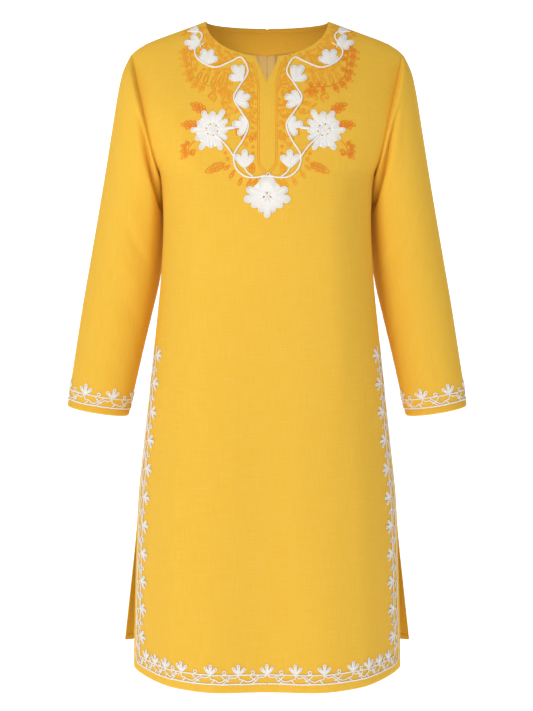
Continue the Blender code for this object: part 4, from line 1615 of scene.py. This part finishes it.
def deep_orange_side(work):
    """The darker leaves beside and below the rosette."""
    ragged_leaf(work, (89.0, -138.5), 27.0, 25.0)
    ragged_leaf(work, (101.0, -157.5), -1.0, 23.0)
    veined_leaf(work, (62.6, -214.3), -24.0, 29.0, 6.6, 6)
    stem = ((104.5, -181.0), (111.0, -187.0), (114.2, -194.0), (113.0, -201.0))
    work.lay(through(stem), 1.3, 0.7, chain=2.0)
    for radius in (5.9, 3.8):
        work.lay(turned_about(coil(1.4, radius, 16), (107.5, -198.5), 10.0), 1.15, 0.6, chain=2.0)
    for x, z, angle, length in (
        (116.5, -189.5, 14.0, 9.5),
        (115.5, -193.0, -16.0, 11.0),
        (113.0, -187.0, 50.0, 8.0),
        (115.0, -197.5, -40.0, 13.5),
    ):
        notched_leaf(work, Frond(x, z, angle, length))


for name, place_on, seed in (("left", on_front_left, 3), ("right", on_front_right, 11)):
    pale, deep = Needlework(place_on), Needlework(place_on)
    packed = orange_side(pale, random.Random(seed))
    # On the wearer's left the fern takes the darker thread, which there is painted shade for the
    # side away from the lamp
    fern(deep if name == "left" else pale)
    hanging_drops(pale if name == "left" else deep)
    pale.finish(f"orange_work_{name}", orange_thread)
    deep_orange_side(deep)
    deep.finish(f"deep_orange_and_shaded_leaves_{name}", deep_orange_and_shade_thread)
    print("curls packed on the", name + ":", packed)

# %% [markdown]
# ## The white borders
# A narrow border in the same white cord runs up the front along one slit, along the hem and up
# the other slit, and round each cuff. It is two lines with wavy stems that cross between them;
# on the upper line stand little fans of three fingers, with a ring between every two. One drawing
# serves all: it is made along a straight line, and each band has its own rule that says where a
# point at a distance along and a height above the line lies on the cloth. So the same drawing can
# be made wider for the sides, and shorter in its fans for the cuffs.

# %% Distances across the front at any height
ACROSS = {}


def across_at(z, side):
    """Distances from the side edge to the centre line, worked out once for each height."""
    key = (side, round(z))
    if key not in ACROSS:
        ACROSS[key] = in_from_edge(key[1], side, STEPS_ACROSS + 1)
    return ACROSS[key]


# Beyond this distance from the edge, distances are stretched to meet at the centre line
TRUE_TO = 60.0


def on_panel(inward, up, side=FRONT, out=0.0):
    """The cloth at a distance in from the slit edge and a height above the hem, and its way."""
    z = HEM_Z + up
    known, across = across_at(z, side)
    if inward > TRUE_TO:
        inward = blend(TRUE_TO, known[-1], (inward - TRUE_TO) / (HALF_HEM - TRUE_TO))
    if inward > known[-1]:
        x = -read_off(2 * known[-1] - inward, known, across)
    else:
        x = read_off(inward, known, across)
    way = facing_way(x, z, side)
    return body_at(x, z, side) + way * out, way


def as_drawn(place_and_way):
    return place_and_way


def flipped(place_and_way):
    """The same place on the wearer's right."""
    return mirrored(place_and_way[0]), mirrored(place_and_way[1])


HALF_HEM = across_at(HEM_Z + 20.0, FRONT)[0][-1]
print("half of the front's hem:", round(HALF_HEM, 1), "mm")

# %% The drawing of a border
UPPER_LINE = 13.4
FINGERS = ((90, 16.5), (130, 15), (51, 15.2))
STEMS = (
    ((0, 13.2), (0.13, 9.6), (0.26, 10.2), (0.38, 6.2), (0.5, 1.8), (0.6, 0.2)),
    ((0.27, 13), (0.4, 9.2), (0.54, 4.9), (0.68, 3.4), (0.84, 6.4), (0.97, 7.6), (1, 13)),
    ((0.33, 3.9), (0.48, 7.4), (0.61, 12.8)), ((0.84, 6.4), (0.9, 3.4), (0.97, 0.6)),
)


def small_fan(work, along, chance):
    """Three fingers of looped cord that spring from one place on the upper line."""
    root = (along, UPPER_LINE)
    for angle, reach in FINGERS:
        angle += chance.uniform(-4.0, 4.0)
        loop = lobe_loop(Lobe(0.0, reach, 2.7), 1.1, 3.2)
        work.lay(turned_about(loop, root, angle), 2.3, 1.2, chain=2.3, lie=0.25, step=1.3)
        work.lay(turned_about([(0.0, 0.0), (reach - 4.0, 0.0)], root, angle), 2.4, 0.9, lie=0.1)


def small_ring(work, along):
    """A ring of cord on the upper line."""
    centre = (along, UPPER_LINE + 4.0)
    circle = [turned_about([(2.4, 0.0)], centre, 24.0 * i)[0] for i in range(16)]
    work.lay(circle, 2.2, 1.2, chain=2.3, lie=0.2, step=1.0)


def crossing_stems(work, along, gap, chance):
    """The wavy stems between the two lines, from one fan to the next."""
    for bends in STEMS:
        placed = [(along + gap * share, h + chance.uniform(-0.5, 0.5)) for share, h in bends]
        work.lay(through(placed, 5), 2.1, 1.2, chain=2.3, lie=0.15, step=1.4)


def border(work, places, chance, first=0):
    """Fans at the given places along a band, with a ring and crossing stems between them."""
    for i, along in enumerate(places):
        if i >= first:
            small_fan(work, along, chance)
        if i < len(places) - 1:
            gap = places[i + 1] - along
            small_ring(work, along + gap / 2)
            crossing_stems(work, along, gap, chance)


def wavy_line(work, start, end, height, width, chance):
    """A line of cord along a band that wanders a little."""
    steps = max(2, round((end - start) / 9.0))
    bends = []
    for i in range(steps + 1):
        bends.append((blend(start, end, i / steps), height + chance.uniform(-0.35, 0.35)))
    work.lay(through(bends, 4), width, 1.3, chain=2.6, lie=0.15, step=1.6)


# %% Sew the border of the front
HEM_FANS = (0.0, 42.0, 84.0, 130.0, 160.0, 187.0, 215.0)
BAND_UP, BAND_IN, BAND_WIDEN = 13.2, 18.5, 1.3
SIDE_BAND_TOP = SLIT_TOP_Z - HEM_Z - 4.0
SIDE_FANS = [58.0 + 43.0 * i for i in range(11)]
CORNER = ((38, 13.2), (29, 13.8), (22.5, 16.8), (19.3, 22.5), (18.5, 31))
# How far from the slit edge the hem's lines and stems stop, and how high the side's begin
HEM_LOWER_STOP, HEM_UPPER_STOP, HEM_STEM_STOP = 38.0, 34.0, 27.5
SIDE_LOWER_START, SIDE_UPPER_START, SIDE_STEM_START = 31.0, 27.0, 28.0

for name, side_of in (("left", as_drawn), ("right", flipped)):
    chance = random.Random(5 if name == "left" else 6)
    edging = Needlework(lambda s, h: side_of(on_panel(HALF_HEM - s, BAND_UP + h)))
    border(edging, HEM_FANS, chance, first=0 if name == "left" else 1)
    wavy_line(edging, 0.0, HALF_HEM - HEM_LOWER_STOP, 0.0, 2.7, chance)
    wavy_line(edging, 0.0, HALF_HEM - HEM_UPPER_STOP, UPPER_LINE, 2.4, chance)
    crossing_stems(edging, HEM_FANS[-1], HALF_HEM - HEM_FANS[-1] - HEM_STEM_STOP, chance)
    edging.place_on = lambda s, h: side_of(on_panel(s, h))
    edging.lay(through(CORNER, 5), 2.7, 1.3, chain=2.6, lie=0.15, step=1.5)
    edging.place_on = lambda s, h: side_of(on_panel(BAND_IN + BAND_WIDEN * h, s))
    border(edging, SIDE_FANS, chance)
    wavy_line(edging, SIDE_LOWER_START, SIDE_BAND_TOP, 0.0, 2.6, chance)
    wavy_line(edging, SIDE_UPPER_START, SIDE_BAND_TOP, UPPER_LINE, 2.3, chance)
    crossing_stems(edging, SIDE_STEM_START, SIDE_FANS[0] - SIDE_STEM_START, chance)
    edging.finish(f"white_border_{name}", white_cord)


# %% Sew the cuffs
CUFF_BAND_UP = 13.0
CUFF_MEASURED_AT = 20.0
CUFF_STEPS = 192
CUFF_FANS = 7


def cuff_table():
    """Distances round a cuff from the middle of its front, and the turn each belongs to."""
    turns = [0.25 - i / CUFF_STEPS for i in range(CUFF_STEPS + 1)]
    down = LAST_RING - CUFF_MEASURED_AT / CUFF_RING_GAP
    return lengths_along([sleeve_at(turn, down) for turn in turns]), turns


CUFF_ROUND, CUFF_TURNS = cuff_table()


def on_cuff(along, up):
    """The sleeve at a distance round from its front and a height above the cuff's edge."""
    turn = read_off(along % CUFF_ROUND[-1], CUFF_ROUND, CUFF_TURNS)
    down = LAST_RING - up / CUFF_RING_GAP
    return sleeve_at(turn, down), sleeve_out_way(turn, down)


def cuff_height(h):
    """The border's band is a little wider on a cuff, and its fans are shorter."""
    return 1.12 * min(h, UPPER_LINE) + 0.74 * max(0.0, h - UPPER_LINE)


def dashes(work, route, height=0.4):
    """A row of small stitches along a route."""
    points = even_steps(route, 1.15)
    for i in range(0, len(points) - 2, 3):
        work.lay(points[i : i + 3], 0.6, height, step=1.2, sides=4, lie=0.05)


round_cuff = CUFF_ROUND[-1]
for name, side_of in (("left", as_drawn), ("right", flipped)):
    chance = random.Random(8 if name == "left" else 9)
    cuff = Needlework(lambda s, h: side_of(on_cuff(s, CUFF_BAND_UP + cuff_height(h))))
    gap = round_cuff / CUFF_FANS
    border(cuff, [gap * (i + 0.5) for i in range(CUFF_FANS + 1)], chance, first=1)
    wavy_line(cuff, 0.0, round_cuff, 0.0, 2.5, chance)
    wavy_line(cuff, 0.0, round_cuff, UPPER_LINE, 2.3, chance)
    cuff.finish(f"white_cuff_{name}", white_cord)
    rows = Needlework(lambda s, h: side_of(on_cuff(s, h)))
    for up in (3.4, 6.4, 9.4):
        dashes(rows, [(round_cuff * i / 40, up) for i in range(41)])
    rows.finish(f"cuff_stitching_{name}", sewing_thread)

# %% [markdown]
# ## Plain sewing
# What holds the kurta together is nearly hidden, in thread of the cloth's own colour: one row
# along the back's hem, one up each turned slit edge, one that holds the facing inside the back
# neck. They are single short stitches, so that a close view shows thread and not a drawn line.

# %% Stitch the back and the facing
def inside_out(place_and_way):
    """The same place on the wrong side, for stitches that show there."""
    place, way = place_and_way
    return place - way * (CLOTH + 0.1), -way


def on_strip(inward, up):
    """The inner face of the strip that is turned in along a slit."""
    return on_panel(inward, up, BACK, -(CLOTH + 1.35))[0], -on_panel(inward, up, BACK)[1]


UP_THE_SLIT = [(STRIP_STITCH, 12.0 + 8.0 * i) for i in range(61)]

back_hem = Needlework(lambda s, h: on_panel(s, h, BACK))
back_width = across_at(HEM_Z + 10.0, BACK)[0][-1]
for side_of in (as_drawn, flipped):
    for face in (as_drawn, inside_out):
        back_hem.place_on = lambda s, h: side_of(face(on_panel(s, h, BACK)))
        dashes(back_hem, [(back_width * (i + 0.2) / 30 + 1.0, 10.0) for i in range(30)])
    back_hem.place_on = lambda s, h: side_of(on_panel(s, h, BACK))
    dashes(back_hem, UP_THE_SLIT)
    back_hem.place_on = lambda s, h: side_of(on_strip(s, h))
    dashes(back_hem, UP_THE_SLIT)
back_hem.finish("back_hem_and_slit_stitching", sewing_thread)


def on_facing(x, z):
    """The face of the facing that shows inside the neck."""
    return laid_on(x, z, BACK, -(CLOTH + FACING_LIES + 0.9)), -facing_way(x, z, BACK)


facing_row = Needlework(on_facing)
for side_of in (as_drawn, flipped):
    facing_row.place_on = lambda x, z: side_of(on_facing(x, z))
    dashes(facing_row, [(x, min(back_top_z(x), shoulder_z(x)) - 5.0) for x in range(0, 86, 5)])
facing_row.finish("neck_facing_stitching", sewing_thread)

# %% [markdown]
# ## The studio
# The photograph has no surroundings: a white ground, soft light from everywhere, and one broad
# lamp in front and to the left, so the right side and the right sleeve are a little darker. A
# pale floor lies well below the hem and rises behind like a paper sweep, far enough away that no
# shadow of the kurta falls where the camera looks. A very small lamp inside the neck stands in
# for the light that thin cotton lets through, which these sheets don't.

# %% Floor and sweep
PLAIN_WHITE = (1.0, 1.0, 1.0, 1.0)
paper, _, paper_shader = new_finish(
    "white paper sweep", Roughness=1.0, Emission_Color=PLAIN_WHITE, Emission_Strength=0.62
)
paper_shader.inputs["Base Color"].default_value = (0.92, 0.92, 0.92, 1.0)
paper_shader.inputs["Specular IOR Level"].default_value = 0.0

FLOOR_Z, FLOOR_HALF, FLOOR_END, BEND_RADIUS, SWEEP_TOP = -1.35, 6.0, 4.2, 1.2, 3.6
BEND_STEPS = 16
profile = [(y, FLOOR_Z) for y in (-FLOOR_HALF, -2.0, 2.0, FLOOR_END)]
for i in range(1, BEND_STEPS + 1):
    bend = math.pi / 2 * i / BEND_STEPS
    out, up = BEND_RADIUS * math.sin(bend), BEND_RADIUS * (1 - math.cos(bend))
    profile.append((FLOOR_END + out, FLOOR_Z + up))
profile.append((FLOOR_END + BEND_RADIUS, SWEEP_TOP))
sweep_points = [(x, y, z) for y, z in profile for x in (-FLOOR_HALF, FLOOR_HALF)]
sweep_faces = [(2 * i, 2 * i + 1, 2 * i + 3, 2 * i + 2) for i in range(len(profile) - 1)]
sweep_mesh = bpy.data.meshes.new("floor and sweep")
sweep_mesh.from_pydata(sweep_points, [], sweep_faces)
sweep_mesh.materials.append(paper)
sweep_mesh.shade_smooth()
sweep = bpy.data.objects.new("floor_sweep", sweep_mesh)
bpy.context.scene.collection.objects.link(sweep)

sky = bpy.data.worlds.new("soft white surround")
bpy.context.scene.world = sky
sky.use_nodes = True
background = sky.node_tree.nodes["Background"]
background.inputs["Color"].default_value = PLAIN_WHITE
background.inputs["Strength"].default_value = 0.44
print("sweep faces:", len(sweep_faces))


# %% Lamps
WARM_WHITE = (1.0, 0.98, 0.95)


def soft_lamp(name, place, aim, wide, tall, watts):
    """A flat lamp at a place, turned towards aim."""
    data = bpy.data.lights.new(name, "AREA")
    data.shape = "RECTANGLE"
    data.size, data.size_y = wide, tall
    data.energy = watts
    data.color = WARM_WHITE
    lamp = bpy.data.objects.new(name, data)
    lamp.location = place
    lamp.rotation_euler = (Vector(aim) - Vector(place)).to_track_quat("-Z", "Y").to_euler()
    bpy.context.scene.collection.objects.link(lamp)
    return lamp


soft_lamp("main lamp", (-1.45, -2.6, 0.95), (0, 0, -0.42), 1.0, 1.0, 38.0)
soft_lamp("lamp inside the neck", (0, 0.015, -0.13), (0, 0.09, -0.02), 0.08, 0.04, 0.085)

# %% [markdown]
# ## The camera
# The camera stands in front, a little above the middle of the kurta, and looks slightly down,
# so the hem is seen as a curve that dips in the middle. A long lens keeps the sleeves from
# looking larger than the body. The camera's place was found by laying the model's outline over
# the photograph.

# %% Camera and colours of the picture
lens = bpy.data.cameras.new("camera")
lens.lens = 87.0
lens.sensor_width = 36.0
camera = bpy.data.objects.new("camera", lens)
camera.location = (-0.001, -2.6, -0.270)
aim_at = Vector((-0.001, 0.0, -0.501))
camera.rotation_euler = (aim_at - camera.location).to_track_quat("-Z", "Y").to_euler()
bpy.context.scene.collection.objects.link(camera)
bpy.context.scene.camera = camera
bpy.context.scene.view_settings.view_transform = "Standard"
